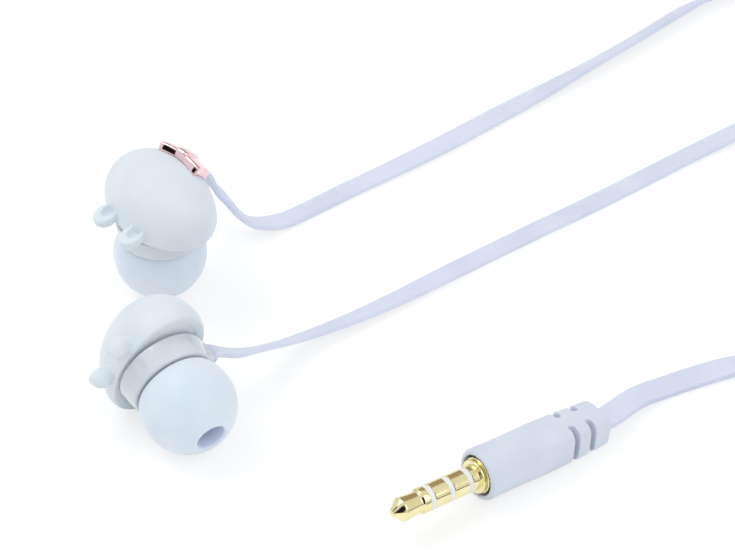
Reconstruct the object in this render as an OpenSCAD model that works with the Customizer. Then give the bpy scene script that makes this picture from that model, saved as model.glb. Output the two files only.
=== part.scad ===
// Wired in-ear earphones with novelty animal-head caps, flat cords and a four-pole plug.
// Millimetres, +Z up. The origin is the bottom centre of the two earbuds as they lie.
// Each earbud is drawn in its own frame and then laid on the bench: the origin is the centre
// of the rear housing's rim, +Z points out of the face, +X from the ears to the chin.

/* [Head cap] */
// Head width, cheek to cheek
head_w = 18.4; // [17:0.1:19.5]
// Head height, crown to chin
head_l = 13.3; // [12.6:0.1:15]
// How far the face stands in front of the head's widest part
head_front = 7.6; // [7:0.1:8.2]
// How far the head's oval reaches behind its widest part
head_under = 4.5; // [4.2:0.1:5]
// Wall of the head cap
head_wall = 1.1; // [0.8:0.1:1.4]
// Height of the seam between head cap and back cover
seam_z = 0.9; // [0.7:0.1:1.1]
// Radius of an ear
ear_r = 1.5; // [1.3:0.05:1.8]
// Depth of an ear's straight rim in front of its round back
ear_rim = 0.8; // [0.5:0.1:1.1]
// Distance between the two ear centres
ear_gap = 5.6; // [5:0.1:6.2]
// Depth of the hollow in an ear
ear_dish = 1; // [0.7:0.05:1.2]
// How far the ears lean away from the face
ear_lean = 10; // [0:1:25]

/* [Bow] */
// Bow width, wing tip to wing tip
bow_w = 6.8; // [5.6:0.1:7.6]
// Height of a wing at its tip
bow_l = 4; // [3:0.1:4.6]
// Width of the knot
bow_knot_w = 1.7; // [1.4:0.1:2.2]
// Thickness of the wings
bow_t = 1.1; // [0.8:0.1:1.4]
// Distance of the knot from the centre of the face
bow_x = 3.8; // [3.2:0.1:4.2]
// How far the bow lies aslant
bow_turn = 20; // [0:1:30]

/* [Rear housing] */
// Outer diameter of the rear housing at its rim
housing_d = 12.8; // [12.4:0.1:13.2]
// How much narrower the housing's radius is at its rear edge
housing_taper = 0.45; // [0.3:0.05:0.6]
// Length of the rear housing's drum
housing_h = 3.35; // [3.2:0.05:3.8]
// Wall of the rear housing
housing_wall = 0.9; // [0.8:0.05:1]
// Outer diameter of the nozzle
nozzle_d = 4.8; // [4.4:0.1:5]
// Bore of the nozzle
nozzle_bore = 3.4; // [3:0.1:3.6]
// Length of the nozzle from the housing's end
nozzle_h = 5.1; // [4.7:0.1:5.4]
// Diameter of the barb that holds the ear tip
barb_d = 5.4; // [5.2:0.05:5.6]
// Width of the cord slot, and of its collar
collar_w = 1.65; // [1.5:0.05:1.9]
// How far the collar stands out of the housing
collar_out = 0.3; // [0.2:0.05:0.5]
// Angle from the chin to the cord slot
exit_angle = 28; // [20:1:40]

/* [Ear tip] */
// Diameter of the ear tip's ball
tip_d = 13.1; // [12.8:0.1:13.5]
// Distance from the housing's rim to the centre of the ball
tip_z = 7.2; // [7:0.1:7.6]
// Diameter of the sound opening
tip_mouth = 4.1; // [3.6:0.1:4.4]
// Wall of the ball
tip_wall = 0.7; // [0.5:0.05:0.9]
// Wall of the core that grips the nozzle
tip_core_wall = 0.8; // [0.6:0.05:1]

/* [Driver] */
// Diameter of the driver's frame
driver_d = 9.2; // [8.8:0.1:9.8]
// Height of the driver's frame
driver_h = 2.4; // [2.2:0.1:2.6]
// Diameter of the magnet
magnet_d = 4.6; // [4:0.1:5]
// Thickness of the magnet
magnet_h = 0.9; // [0.7:0.1:1]
// Thickness of the top plate
plate_h = 0.4; // [0.3:0.05:0.5]
// Wall and floor of the magnet cup
yoke_wall = 0.5; // [0.4:0.05:0.6]
// Thickness of the voice coil
voice_t = 0.2; // [0.15:0.05:0.25]

/* [Plug] */
// Diameter of the flange's larger bead
flange_d = 5.3; // [5:0.1:5.8]
// Length of the flange
flange_t = 2; // [1.7:0.1:2.4]
// Front diameter of the moulded grip
grip_d = 7.3; // [7:0.1:8]
// Length of the moulded grip
grip_l = 18.9; // [18:0.1:21]
// Width of the moulded grip's end
grip_end_w = 5.6; // [5.2:0.1:6.2]
// Height of the moulded grip's end
grip_end_h = 4.7; // [4.4:0.1:5.2]
// Width of a strain relief slot
relief_gap = 0.9; // [0.7:0.1:1.1]
// Thickness of a strain relief rib
relief_rib = 2; // [1.6:0.1:2.2]
// Thickness of the spine that joins the ribs
relief_spine = 2.2; // [1.8:0.1:2.6]

/* [Cord] */
// Width of the flat cord to one earbud
branch_w = 2.9; // [2.6:0.1:3.2]
// Thickness of the flat cord to one earbud
branch_t = 0.95; // [0.8:0.05:1.1]
// Width of the flat cord to the plug
main_w = 3.6; // [3.2:0.1:3.8]
// Thickness of the flat cord to the plug
main_t = 1.1; // [0.9:0.05:1.2]
// Outer radius of the left cord's coil
left_coil_r = 16.5; // [15:0.5:17.5]
// Outer radius of the right cord's coil
right_coil_r = 17; // [15:0.5:17.5]
// Outer radius of the plug cord's coil
main_coil_r = 20.5; // [19:0.5:21]
// Step from one turn to the next in the thin coils
branch_pitch = 1.9; // [1.8:0.05:2.2]
// Step from one turn to the next in the plug cord's coil
main_pitch = 2.1; // [2:0.05:2.3]
// Space between the two layers of a coil
layer_gap = 0.8; // [0.6:0.05:1]

/* [Splitter] */
// Length of the splitter
splitter_l = 15; // [13:0.5:17]
// Width of the splitter where the two cords enter
splitter_w = 9.6; // [9.4:0.1:10.4]
// Width of the splitter where the plug cord enters
splitter_end_w = 5.6; // [5:0.1:6.4]
// Height of the splitter
splitter_h = 4.4; // [4:0.1:5]

/* [Remote] */
// Length of the in-line remote
remote_l = 26; // [24:0.5:30]
// Width of the in-line remote
remote_w = 7.6; // [7:0.1:8.4]
// Height of the in-line remote
remote_h = 6; // [5.6:0.1:6.6]
// Wall of the remote's shells
remote_wall = 0.9; // [0.8:0.05:1.1]
// Length of the remote's button
button_l = 9; // [7:0.5:10]
// Width of the remote's button
button_w = 3.6; // [3:0.1:4]
// How far the button travels
button_travel = 0.3; // [0.2:0.05:0.4]

/* [Fits] */
// Clearance round pieces that are pressed or glued together
seat_gap = 0.04; // [0.02:0.01:0.06]
// Clearance round pieces that move
run_gap = 0.08; // [0.05:0.01:0.1]
// Groove that shows between two shells
shadow_gap = 0.15; // [0.1:0.05:0.25]

/* [Layout] */
// Left earbud on the bench, across
left_x = -1.32; // [-1.82:0.1:-0.82]
// Left earbud on the bench, away
left_y = 15.39; // [14.89:0.1:15.89]
// Right earbud on the bench, across
right_x = -0.12; // [-0.62:0.1:0.38]
// Right earbud on the bench, away
right_y = -10.96; // [-11.46:0.1:-10.46]
// Plug's point on the bench, across
plug_x = 30.4; // [29.4:0.1:31.4]
// Plug's point on the bench, away
plug_y = -36.1; // [-37.1:0.1:-35.1]

/* [Hidden] */
$fn = 64;

// Colours
matte_blue = [0.86, 0.90, 0.94];
gloss_blue = [0.88, 0.91, 0.95];
silicone = [0.88, 0.90, 0.95];
cord_colour = [0.86, 0.88, 0.93];
rose_chrome = [0.90, 0.68, 0.70];
gold = [0.95, 0.80, 0.50];
insulator_white = [0.94, 0.94, 0.93];
steel = [0.70, 0.71, 0.73];
copper = [0.78, 0.48, 0.32];
film = [0.90, 0.88, 0.80];
board_green = [0.16, 0.36, 0.26];
dark_metal = [0.30, 0.31, 0.33];

LEFT = 1;
RIGHT = -1;
eps = 0.01;

// ---- Earbud, in its own frame ----
head_z = 1.8;
housing_r = housing_d / 2;
cavity_r = housing_r - housing_wall;
cavity_z = -(housing_h - housing_wall);
nozzle_end = -(housing_h + nozzle_h);
barb_h = 0.8;
spigot_h = 0.7;
panel_h = 1;
panel_drop = 0.2;
// The cord slot runs from the housing's rim down to `collar_low`
collar_low = -2.95;
collar_z = collar_low / 2;
collar_corner = 0.4;
collar_end = housing_r + collar_out;
ear_x = -(head_l / 2 + 0.9);
ear_z = 1.5;
ear_dish_r = 1.15;
mesh_t = 0.2;
mesh_recess = 0.4;
mesh_hole_r = 0.2;
mesh_step = 0.62;

// Driver, from the diaphragm backwards
driver_r = driver_d / 2;
gasket_h = 0.7;
film_t = 0.1;
frame_wall = 0.5;
frame_floor = 0.5;
film_z = cavity_z + gasket_h;
frame_z = film_z + film_t;
plate_z = frame_z + 0.35;
magnet_z = plate_z + plate_h;
yoke_z = magnet_z + magnet_h;
plate_r = magnet_d / 2 + 0.1;
voice_r = plate_r + 0.12;
voice_h = 0.9;
yoke_bore = voice_r + voice_t + 0.12;
yoke_r = yoke_bore + yoke_wall;
driver_back = frame_z + driver_h - gasket_h - film_t;
board_t = 0.3;
board_arc = 56;

// Ear tip
dome_r = tip_d / 2;
mouth_r = tip_mouth / 2;
tip_front = 6.1;
tip_flat_r = sqrt(dome_r * dome_r - tip_front * tip_front);
core_bore_r = barb_d / 2 + run_gap;
core_r = core_bore_r + tip_core_wall;
skirt_z = -housing_h - 0.15;

// How an earbud lies: its face leans by `lean` towards `heading` and is turned by `turn`
left_lean = 6.1;
left_heading = -61.3;
left_turn = 103.2;
right_lean = 76.05;
right_heading = 123.4;
right_turn = -68.6;
// The left one stands on the flat round its sound opening
left_z = (tip_z + tip_front) * cos(left_lean) + tip_flat_r * sin(left_lean);
// The right one lies on its ear tip and its cheek: the way down, seen in its own frame
right_down = [sin(right_lean) * cos(right_turn), -sin(right_lean) * sin(right_turn), -cos(right_lean)];
head_reach = norm([right_down[0] * head_l / 2, right_down[1] * head_w / 2, right_down[2] * head_under]);
right_z = max(tip_z * cos(right_lean) + dome_r, head_reach - head_z * cos(right_lean));

module left_bud() {
    translate([left_x, left_y, left_z])
        rotate([0, left_lean, left_heading])
            rotate([0, 0, left_turn])
                children();
}

module right_bud() {
    translate([right_x, right_y, right_z])
        rotate([0, right_lean, right_heading])
            rotate([0, 0, right_turn])
                children();
}

// One half of the head's oval, made smaller all round by `inset`: `depth` deep to one side
module half_oval(inset, depth, side) {
    intersection() {
        scale([head_l / 2 - inset, head_w / 2 - inset, depth - inset]) sphere(r = 1, $fn = 120);
        translate([-head_w, -head_w, side > 0 ? 0 : -2 * head_w])
            cube([2 * head_w, 2 * head_w, 2 * head_w]);
    }
}

module oval(inset) {
    translate([0, 0, head_z]) {
        half_oval(inset, head_front, 1);
        half_oval(inset, head_under, -1);
    }
}

// A cup with a round back; its hollow lies towards the head
module ear() {
    lip = 0.2;
    dish_shift = 0.15;
    translate([ear_x, ear_gap / 2, ear_z])
        rotate([0, -ear_lean, 0])
            difference() {
                rotate_extrude() {
                    intersection() {
                        circle(ear_r);
                        translate([0, -ear_r]) square([ear_r, ear_r]);
                    }
                    square([ear_r, ear_rim - lip]);
                    square([ear_r - lip, ear_rim]);
                    translate([ear_r - lip, ear_rim - lip]) circle(lip);
                }
                translate([dish_shift, 0, ear_rim + ear_dish_r - ear_dish]) sphere(ear_dish_r);
            }
}

module head_cap() {
    color(matte_blue)
        difference() {
            union() {
                oval(0);
                ear();
                mirror([0, 1, 0]) ear();
            }
            oval(head_wall);
            translate([-head_w, -head_w, seam_z - 2 * head_w])
                cube([2 * head_w, 2 * head_w, 2 * head_w]);
        }
}

// Snaps into the head's mouth and plugs into the housing; the magnet cup has room in its middle
module back_cover() {
    panel_z = seam_z - panel_drop;
    spigot_r = cavity_r - seat_gap;
    driver_room = 0.1;
    cup_room = 0.2;
    color(matte_blue)
        difference() {
            union() {
                intersection() {
                    oval(head_wall + seat_gap);
                    translate([0, 0, panel_z]) cylinder(r = head_w, h = panel_drop + panel_h);
                }
                translate([0, 0, -spigot_h])
                    cylinder(r = spigot_r, h = spigot_h + seam_z - seat_gap);
            }
            translate([0, 0, -spigot_h - 1])
                cylinder(r = driver_r + driver_room, h = spigot_h + 1 + panel_z);
            cylinder(r = yoke_r + cup_room, h = seam_z + panel_h + 1);
        }
}

// Bow outline: two wings that widen from the knot
module bow_outline() {
    wing = bow_w / 2;
    root = 0.34 * bow_l;
    for (s = [-1, 1])
        scale([1, s])
            polygon([
                [-root, 0], [root, 0], [root, bow_knot_w / 2], [bow_l / 2, wing - 0.35],
                [bow_l / 2 - 0.3, wing], [-bow_l / 2 + 0.3, wing], [-bow_l / 2, wing - 0.35],
                [-root, bow_knot_w / 2]
            ]);
}

module bow() {
    knot_rise = 0.45;
    knot_l = 0.86 * bow_l;
    color(rose_chrome)
        difference() {
            union() {
                intersection() {
                    translate([bow_x, 0, head_z])
                        rotate([0, 0, bow_turn]) linear_extrude(2 * head_front) bow_outline();
                    oval(-bow_t);
                }
                intersection() {
                    translate([bow_x, 0, head_z])
                        rotate([0, 0, bow_turn])
                            translate([-knot_l / 2, -bow_knot_w / 2, 0])
                                cube([knot_l, bow_knot_w, 2 * head_front]);
                    oval(-bow_t - knot_rise);
                }
            }
            oval(-seat_gap);
        }
}

// The cord slot's outline up to z = top, across its width and its height
module collar_profile(gap, top) {
    low = collar_low - gap;
    half = collar_w / 2 + gap;
    translate([-half, low + collar_corner]) square([2 * half, top - low - collar_corner]);
    translate([collar_corner - half, low])
        square([2 * (half - collar_corner), collar_corner + eps]);
    for (s = [-1, 1])
        translate([s * (half - collar_corner), low + collar_corner]) circle(collar_corner);
}

// The slot's outline, pushed out along the exit direction
module collar_block(from, to, gap, top) {
    translate([from, 0, 0]) rotate([90, 0, 90]) linear_extrude(to - from) collar_profile(gap, top);
}

// A tapered drum with a rounded rim and rear edge, and the nozzle that the ear tip grips
module rear_housing(side) {
    edge = 0.3;
    nozzle_r = nozzle_d / 2;
    barb_r = barb_d / 2;
    taper = atan(housing_taper / (housing_h - 2 * edge));
    rim = [housing_r - edge, -edge];
    rear = [housing_r - housing_taper - edge, edge - housing_h];
    step = 15;
    color(gloss_blue)
        difference() {
            rotate_extrude()
                polygon(concat(
                    [
                        [nozzle_bore / 2, cavity_z], [nozzle_bore / 2, nozzle_end],
                        [nozzle_r, nozzle_end], [barb_r, nozzle_end + 0.4 * barb_h],
                        [barb_r, nozzle_end + barb_h], [nozzle_r, nozzle_end + 1.4 * barb_h],
                        [nozzle_r, -housing_h]
                    ],
                    [for (a = [-90 : step : -taper]) rear + edge * [cos(a), sin(a)]],
                    [for (a = [-taper : step : 90]) rim + edge * [cos(a), sin(a)]],
                    [[rim[0], 0], [cavity_r, 0], [cavity_r, cavity_z]]
                ));
            rotate([0, 0, side * exit_angle]) collar_block(cavity_r - 1, housing_r + 1, seat_gap, 1);
        }
}

// Fills the slot; a wider tab behind the wall keeps it from being pulled out
module cord_collar(side) {
    tab_w = collar_w + 1.2;
    tab_z = cavity_z + seat_gap;
    tab_h = -spigot_h - seat_gap - tab_z;
    neck_w = collar_w - 0.4;
    driver_room = 0.12;
    color(matte_blue)
        rotate([0, 0, side * exit_angle]) {
            collar_block(cavity_r + seat_gap, collar_end, 0, 0);
            intersection() {
                ring_at(tab_z, tab_h, cavity_r - seat_gap, driver_r + driver_room);
                translate([0, -tab_w / 2, tab_z]) cube([housing_r, tab_w, tab_h]);
            }
            translate([cavity_r - 0.3, -neck_w / 2, tab_z]) cube([housing_wall, neck_w, tab_h]);
        }
}

module nozzle_mesh() {
    color(steel)
        translate([0, 0, nozzle_end + mesh_recess])
            difference() {
                cylinder(r = nozzle_bore / 2 - seat_gap, h = mesh_t);
                for (ring = [0 : 2], i = [0 : max(6 * ring - 1, 0)])
                    rotate([0, 0, ring == 0 ? 0 : 60 * i / ring])
                        translate([ring * mesh_step, 0, -mesh_t]) cylinder(r = mesh_hole_r, h = 3 * mesh_t);
            }
}

module ear_tip() {
    lip = 0.35;
    core_back = -housing_h - 0.25;
    front = -tip_z - tip_front;
    seat = nozzle_end - 0.2;
    color(silicone)
        rotate_extrude()
            difference() {
                intersection() {
                    translate([0, -tip_z]) circle(dome_r);
                    translate([0, front]) square([dome_r, skirt_z - front]);
                }
                // hollow between ball and core
                difference() {
                    translate([0, -tip_z]) circle(dome_r - tip_wall);
                    translate([0, -tip_z - dome_r]) square([core_r, dome_r + tip_z]);
                }
                // room behind the core, up to the housing's end
                translate([0, core_back]) square([core_r + eps, 1]);
                // bore for the nozzle and the smaller sound opening
                translate([0, seat]) square([core_bore_r, -seat]);
                translate([0, front - 1]) square([mouth_r, -front]);
                translate([0, front - 1]) square([mouth_r + lip, 1 + lip / 2]);
            }
}

module ring_at(z, h, outer, inner) {
    translate([0, 0, z])
        difference() {
            cylinder(r = outer, h = h);
            translate([0, 0, -1]) cylinder(r = inner, h = h + 2);
        }
}

module driver_gasket() {
    color(dark_metal)
        ring_at(cavity_z + seat_gap, gasket_h - 2 * seat_gap, driver_r, driver_r - frame_wall);
}

// A strip of film bent to an arc, `half` wide to each side and `rise` deep
module film_arc(half, rise) {
    bend_r = (half * half + rise * rise) / (2 * rise);
    intersection() {
        translate([0, bend_r - rise])
            difference() {
                circle(bend_r);
                circle(bend_r - film_t);
            }
        translate([-half, -rise]) square([2 * half, rise + film_t]);
    }
}

// Thin film: a rolled surround and a dome that bulges towards the nozzle
module diaphragm() {
    dome_h = 0.5;
    rim_r = driver_r - 0.1;
    roll_h = 0.45;
    roll_w = driver_r - frame_wall - voice_r - voice_t;
    color(film)
        rotate_extrude()
            translate([0, film_z]) {
                translate([voice_r - 0.05, 0]) square([voice_t + 0.1, film_t]);
                translate([driver_r - frame_wall - 0.05, 0])
                    square([rim_r - driver_r + frame_wall + 0.05, film_t]);
                translate([voice_r + voice_t + roll_w / 2, 0]) film_arc(roll_w / 2, roll_h);
                intersection() {
                    film_arc(voice_r, dome_h);
                    translate([0, -dome_h]) square([voice_r, dome_h + film_t]);
                }
            }
}

module voice_coil() {
    color(copper) ring_at(frame_z + seat_gap, voice_h, voice_r + voice_t, voice_r);
}

module driver_frame() {
    vents = 6;
    floor_z = driver_back - frame_floor;
    inner = yoke_r + seat_gap;
    outer = driver_r - frame_wall;
    vent_r = 0.3 * (outer - inner);
    color(dark_metal)
        difference() {
            union() {
                ring_at(frame_z + seat_gap, driver_back - frame_z - seat_gap, driver_r, outer);
                ring_at(floor_z, frame_floor, driver_r, inner);
            }
            for (i = [0 : vents - 1])
                rotate([0, 0, 360 * (i + 0.5) / vents])
                    translate([(inner + outer) / 2, 0, floor_z - 1])
                        cylinder(r = vent_r, h = frame_floor + 2, $fn = 24);
        }
}

module top_plate() {
    color(steel) translate([0, 0, plate_z]) cylinder(r = plate_r, h = plate_h - seat_gap / 2);
}

module magnet() {
    color(dark_metal) translate([0, 0, magnet_z]) cylinder(d = magnet_d, h = magnet_h - seat_gap / 2);
}

module magnet_cup() {
    color(steel)
        difference() {
            translate([0, 0, plate_z]) cylinder(r = yoke_r, h = yoke_z + yoke_wall - plate_z);
            translate([0, 0, plate_z - 1]) cylinder(r = yoke_bore, h = yoke_z - plate_z + 1);
        }
}

module terminal_board(side) {
    color(board_green)
        rotate([0, 0, side * exit_angle - board_arc / 2])
            translate([0, 0, driver_back + seat_gap])
                rotate_extrude(angle = board_arc)
                    translate([yoke_r + 0.1, 0]) square([driver_r - yoke_r - 0.2, board_t]);
}

// ---- Plug, in its own frame: +X from its point to the cord, Z = 0 on its axis ----
// The shaft's diameter and length are fixed by the socket that it fits
plug_d = 3.5;
plug_l = 14;
shaft_r = plug_d / 2;
contact_end = 5.4;
insulator_w = 0.75;
ring_w = 2.35;
ring_1_x = contact_end + insulator_w;
ring_2_x = ring_1_x + ring_w + insulator_w;
sleeve_x = ring_2_x + ring_w + insulator_w;
flange_end = plug_l + flange_t;
grip_x = flange_end + seat_gap;
grip_end = grip_x + grip_l;
// Radii of the nested rod and tubes, from the middle outwards
pole_r = [0.45, 0.74, 0.96, 1.14, 1.36, 1.50];
pole_step = 0.9;
core_run = 6;
core_end = flange_end + core_run;
grip_nose = 0.7;
ribs = 2;
plug_heading = 37;
grip_r = grip_d / 2;
grip_full = grip_x + grip_nose + 1.5;
grip_edge = 0.4;
plug_pitch = atan((grip_r - grip_end_h / 2) / (grip_end - grip_edge - grip_full));
plug_z = grip_full * sin(plug_pitch) + grip_r * cos(plug_pitch);

module plug_place() {
    translate([plug_x, plug_y, plug_z]) rotate([0, plug_pitch, plug_heading]) children();
}

// Turns a profile in the X-Z half plane round the plug's axis
module turned() {
    rotate([0, 90, 0]) rotate_extrude() rotate(90) mirror([0, 1, 0]) children();
}

module plug_tip() {
    waist_r = 1.48;
    point_r = 0.4;
    cone_r = 1.65;
    color(gold)
        plug_place()
            turned() {
                polygon([
                    [0, 0], [0.12, point_r], [1.4, cone_r - 0.05], [1.55, cone_r], [1.75, cone_r],
                    [4, waist_r], [4.2, waist_r], [4.45, shaft_r], [contact_end, shaft_r],
                    [contact_end, pole_r[0]], [core_end, pole_r[0]], [core_end, 0]
                ]);
            }
}

// A contact ring or insulator: a band of the full radius from x1 to x2 on a tube that runs back
module pole(x1, x2, inner, outer, back) {
    plug_place()
        turned() {
            translate([x1 + seat_gap / 2, inner]) square([x2 - x1 - seat_gap, shaft_r - inner]);
            translate([x1 + seat_gap / 2, inner]) square([back - x1, outer - inner]);
        }
}

module plug_insulator(x, layer) {
    color(insulator_white)
        pole(x, x + insulator_w, pole_r[layer - 1] + seat_gap, pole_r[layer], core_end - pole_step * layer);
}

module plug_ring(x, layer) {
    color(gold)
        pole(x, x + ring_w, pole_r[layer - 1] + seat_gap, pole_r[layer], core_end - pole_step * layer);
}

// A band round the axis from x1 to x2 with rounded corners, on the shaft
module bead(x1, x2, r) {
    corner = 0.2;
    low = shaft_r - 0.1;
    translate([x1 + corner, low]) square([x2 - x1 - 2 * corner, r - low]);
    translate([x1, low]) square([x2 - x1, r - low - corner]);
    for (x = [x1 + corner, x2 - corner])
        translate([x, r - corner]) circle(corner);
}

module plug_sleeve() {
    root = 0.9;
    groove = 0.2;
    groove_r = shaft_r + 0.35;
    small_r = flange_d / 2 - 0.25;
    small_end = plug_l + 0.42 * flange_t;
    color(gold)
        plug_place()
            turned() {
                translate([sleeve_x + seat_gap / 2, pole_r[5] + seat_gap])
                    square([flange_end + root - sleeve_x, shaft_r - pole_r[5] - seat_gap]);
                translate([plug_l + groove, shaft_r - 0.1])
                    square([flange_t - 2 * groove, groove_r - shaft_r + 0.1]);
                bead(plug_l, small_end, small_r);
                bead(small_end + groove, flange_end, flange_d / 2);
            }
}

module rounded_slab(w, h, r) {
    for (y = [-1, 1], z = [-1, 1])
        translate([0, y * (w / 2 - r), z * (h / 2 - r)]) rotate([0, 90, 0]) cylinder(r = r, h = eps, $fn = 32);
}

// Moulded grip: round at the flange, a flat rounded oblong at the cord, with slotted strain relief
module plug_grip() {
    relief = ribs * (relief_gap + relief_rib);
    end_round = 1.1;
    color(matte_blue)
        plug_place()
            difference() {
                hull() {
                    translate([grip_x, 0, 0])
                        rotate([0, 90, 0]) cylinder(r = grip_r - grip_nose, h = eps, $fn = 48);
                    translate([grip_x + grip_nose, 0, 0])
                        rotate([0, 90, 0]) cylinder(r = grip_r, h = grip_full - grip_x - grip_nose, $fn = 48);
                    translate([grip_end - grip_edge, 0, 0]) rounded_slab(grip_end_w, grip_end_h, end_round);
                    translate([grip_end - eps, 0, 0])
                        rounded_slab(grip_end_w - grip_edge, grip_end_h - grip_edge, end_round);
                }
                translate([grip_x - 1, 0, 0])
                    rotate([0, 90, 0]) cylinder(r = shaft_r + seat_gap, h = core_end - grip_x + 1.4);
                for (i = [0 : ribs - 1], s = [-1, 1])
                    translate([
                        grip_end - relief + i * (relief_gap + relief_rib),
                        s > 0 ? relief_spine / 2 : -relief_spine / 2 - grip_d,
                        -grip_d
                    ])
                        cube([relief_gap, grip_d, 2 * grip_d]);
            }
}

// ---- Splitter, in its own frame: +X from the earbud cords to the plug cord, on Z = 0 ----
splitter_x = 129.3;
splitter_y = 9.6;
splitter_heading = -90;
split_z = splitter_h / 2;
branch_side = 2;

module splitter_place() {
    translate([splitter_x, splitter_y, 0]) rotate([0, 0, splitter_heading]) children();
}

module splitter_outline(inset) {
    r = 1.2;
    hull()
        for (s = [-1, 1]) {
            translate([r, s * (splitter_w / 2 - r)]) circle(r - inset, $fn = 32);
            translate([splitter_l - r, s * (splitter_end_w / 2 - r)]) circle(r - inset, $fn = 32);
        }
}

// One half of the splitter, flat at z = 0 and drawn in at its outer face
module splitter_half(h) {
    edge = 0.6;
    hull() {
        linear_extrude(h - edge) splitter_outline(0);
        linear_extrude(h) splitter_outline(edge);
    }
}

module splitter_lower_shell() {
    color(matte_blue)
        splitter_place()
            translate([0, 0, split_z - shadow_gap / 2])
                mirror([0, 0, 1]) splitter_half(split_z - shadow_gap / 2);
}

module splitter_upper_shell() {
    tongue = 0.6;
    color(matte_blue)
        splitter_place()
            translate([0, 0, split_z + shadow_gap / 2]) {
                splitter_half(split_z - shadow_gap / 2);
                translate([0, 0, -shadow_gap]) linear_extrude(shadow_gap + eps) splitter_outline(tongue);
            }
}

// ---- In-line remote, in its own frame: +X along the cord, on Z = 0 ----
remote_x = 91.3;
remote_y = 53.6;
remote_heading = -9;
remote_corner = 2.2;
remote_split = remote_h / 2;
button_rise = 0.5;
button_flange = 0.5;
board_z = 2;
remote_board_t = 0.6;
switch_x = remote_l / 2;
microphone_inset = 5;
microphone_x = remote_l - microphone_inset;
microphone_r = 1.9;
microphone_h = 1.3;
port_r = 0.5;
switch_h = 1;
plunger_r = 0.8;
button_z = remote_h - remote_wall - run_gap - button_flange;

module remote_place() {
    translate([remote_x, remote_y, 0]) rotate([0, 0, remote_heading]) children();
}

// Oblong from x = 0 to l with rounded corners, drawn in by `inset`
module oblong(l, w, r, inset) {
    hull()
        for (x = [r, l - r], y = [r - w / 2, w / 2 - r])
            translate([x, y]) circle(r - inset, $fn = 40);
}

module remote_outline(inset) {
    oblong(remote_l, remote_w, remote_corner, inset);
}

module button_outline(inset) {
    oblong(button_l, button_w, button_w / 2 - eps, inset);
}

module remote_half(h) {
    edge = 0.8;
    hull() {
        linear_extrude(h - edge) remote_outline(0);
        linear_extrude(h) remote_outline(edge);
    }
}

module remote_back_shell() {
    post = 0.9;
    post_x = 7;
    post_y = 1.6;
    h = remote_split - shadow_gap / 2;
    color(matte_blue)
        remote_place() {
            difference() {
                translate([0, 0, h]) mirror([0, 0, 1]) remote_half(h);
                translate([0, 0, remote_wall]) linear_extrude(remote_h) remote_outline(remote_wall);
            }
            for (x = [-1, 1], y = [-1, 1])
                translate([remote_l / 2 + x * post_x, y * post_y, remote_wall - eps])
                    cylinder(r = post / 2, h = board_z - remote_wall - seat_gap + eps, $fn = 24);
        }
}

module remote_front_shell() {
    h = remote_split - shadow_gap / 2;
    color(matte_blue)
        remote_place()
            difference() {
                translate([0, 0, remote_h - h]) remote_half(h);
                linear_extrude(remote_h - remote_wall) remote_outline(remote_wall);
                translate([(remote_l - button_l) / 2, 0, 0])
                    linear_extrude(2 * remote_h) button_outline(-run_gap);
                translate([microphone_x, 0, 0]) cylinder(r = port_r, h = 2 * remote_h);
            }
}

module remote_board() {
    side = 0.5;
    color(board_green)
        remote_place()
            translate([0, 0, board_z])
                linear_extrude(remote_board_t) remote_outline(remote_wall + side);
}

module remote_switch() {
    body = 3;
    base_z = board_z + remote_board_t + seat_gap;
    top_z = button_z - button_travel - run_gap;
    color(steel)
        remote_place()
            translate([switch_x, 0, base_z]) {
                translate([-body / 2, -body / 2, 0]) cube([body, body, switch_h]);
                cylinder(r = plunger_r, h = top_z - base_z);
            }
}

module remote_microphone() {
    color(steel)
        remote_place()
            translate([microphone_x, 0, board_z + remote_board_t + seat_gap])
                cylinder(r = microphone_r, h = microphone_h);
}

module remote_button() {
    top = remote_h + button_rise;
    color(gloss_blue)
        remote_place()
            translate([(remote_l - button_l) / 2, 0, button_z]) {
                linear_extrude(button_flange) button_outline(-button_flange);
                linear_extrude(top - button_z) button_outline(0);
            }
}

// ---- Flat cords ----
function unit(v) = v / norm(v);
function turn_x(p, a) = [p[0], p[1] * cos(a) - p[2] * sin(a), p[1] * sin(a) + p[2] * cos(a)];
function turn_y(p, a) = [p[0] * cos(a) + p[2] * sin(a), p[1], p[2] * cos(a) - p[0] * sin(a)];
function turn_z(p, a) = [p[0] * cos(a) - p[1] * sin(a), p[0] * sin(a) + p[1] * cos(a), p[2]];
function lay(p, lean, heading, turn) = turn_z(turn_y(turn_z(p, turn), lean), heading);

// Level direction to the left of a run, and the direction square to both
function level(t) = unit(cross([0, 0, 1], t));
// Roll of a cord whose width lies along w: 0 is flat, 90 is on edge
function roll_of(t, w) = atan2(w * cross(t, level(t)), w * level(t));

// Where a cord leaves an earbud, how it is rolled there, and a second point straight out
exit_straight = 1.3;
function bud_point(x, side) = [x * cos(side * exit_angle), x * sin(side * exit_angle), collar_z];
function exit_run(at, lean, heading, turn, side) =
    let (
        a = at + lay(bud_point(collar_end, side), lean, heading, turn),
        b = at + lay(bud_point(collar_end + exit_straight, side), lean, heading, turn),
        w = lay([0, 0, 1], lean, heading, turn),
        r = roll_of(unit(b - a), w)
    )
    [[a[0], a[1], a[2], r], [b[0], b[1], b[2], r]];

function end_at(origin, heading, x, y, z) = origin + turn_z([x, y, z], heading);

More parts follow.
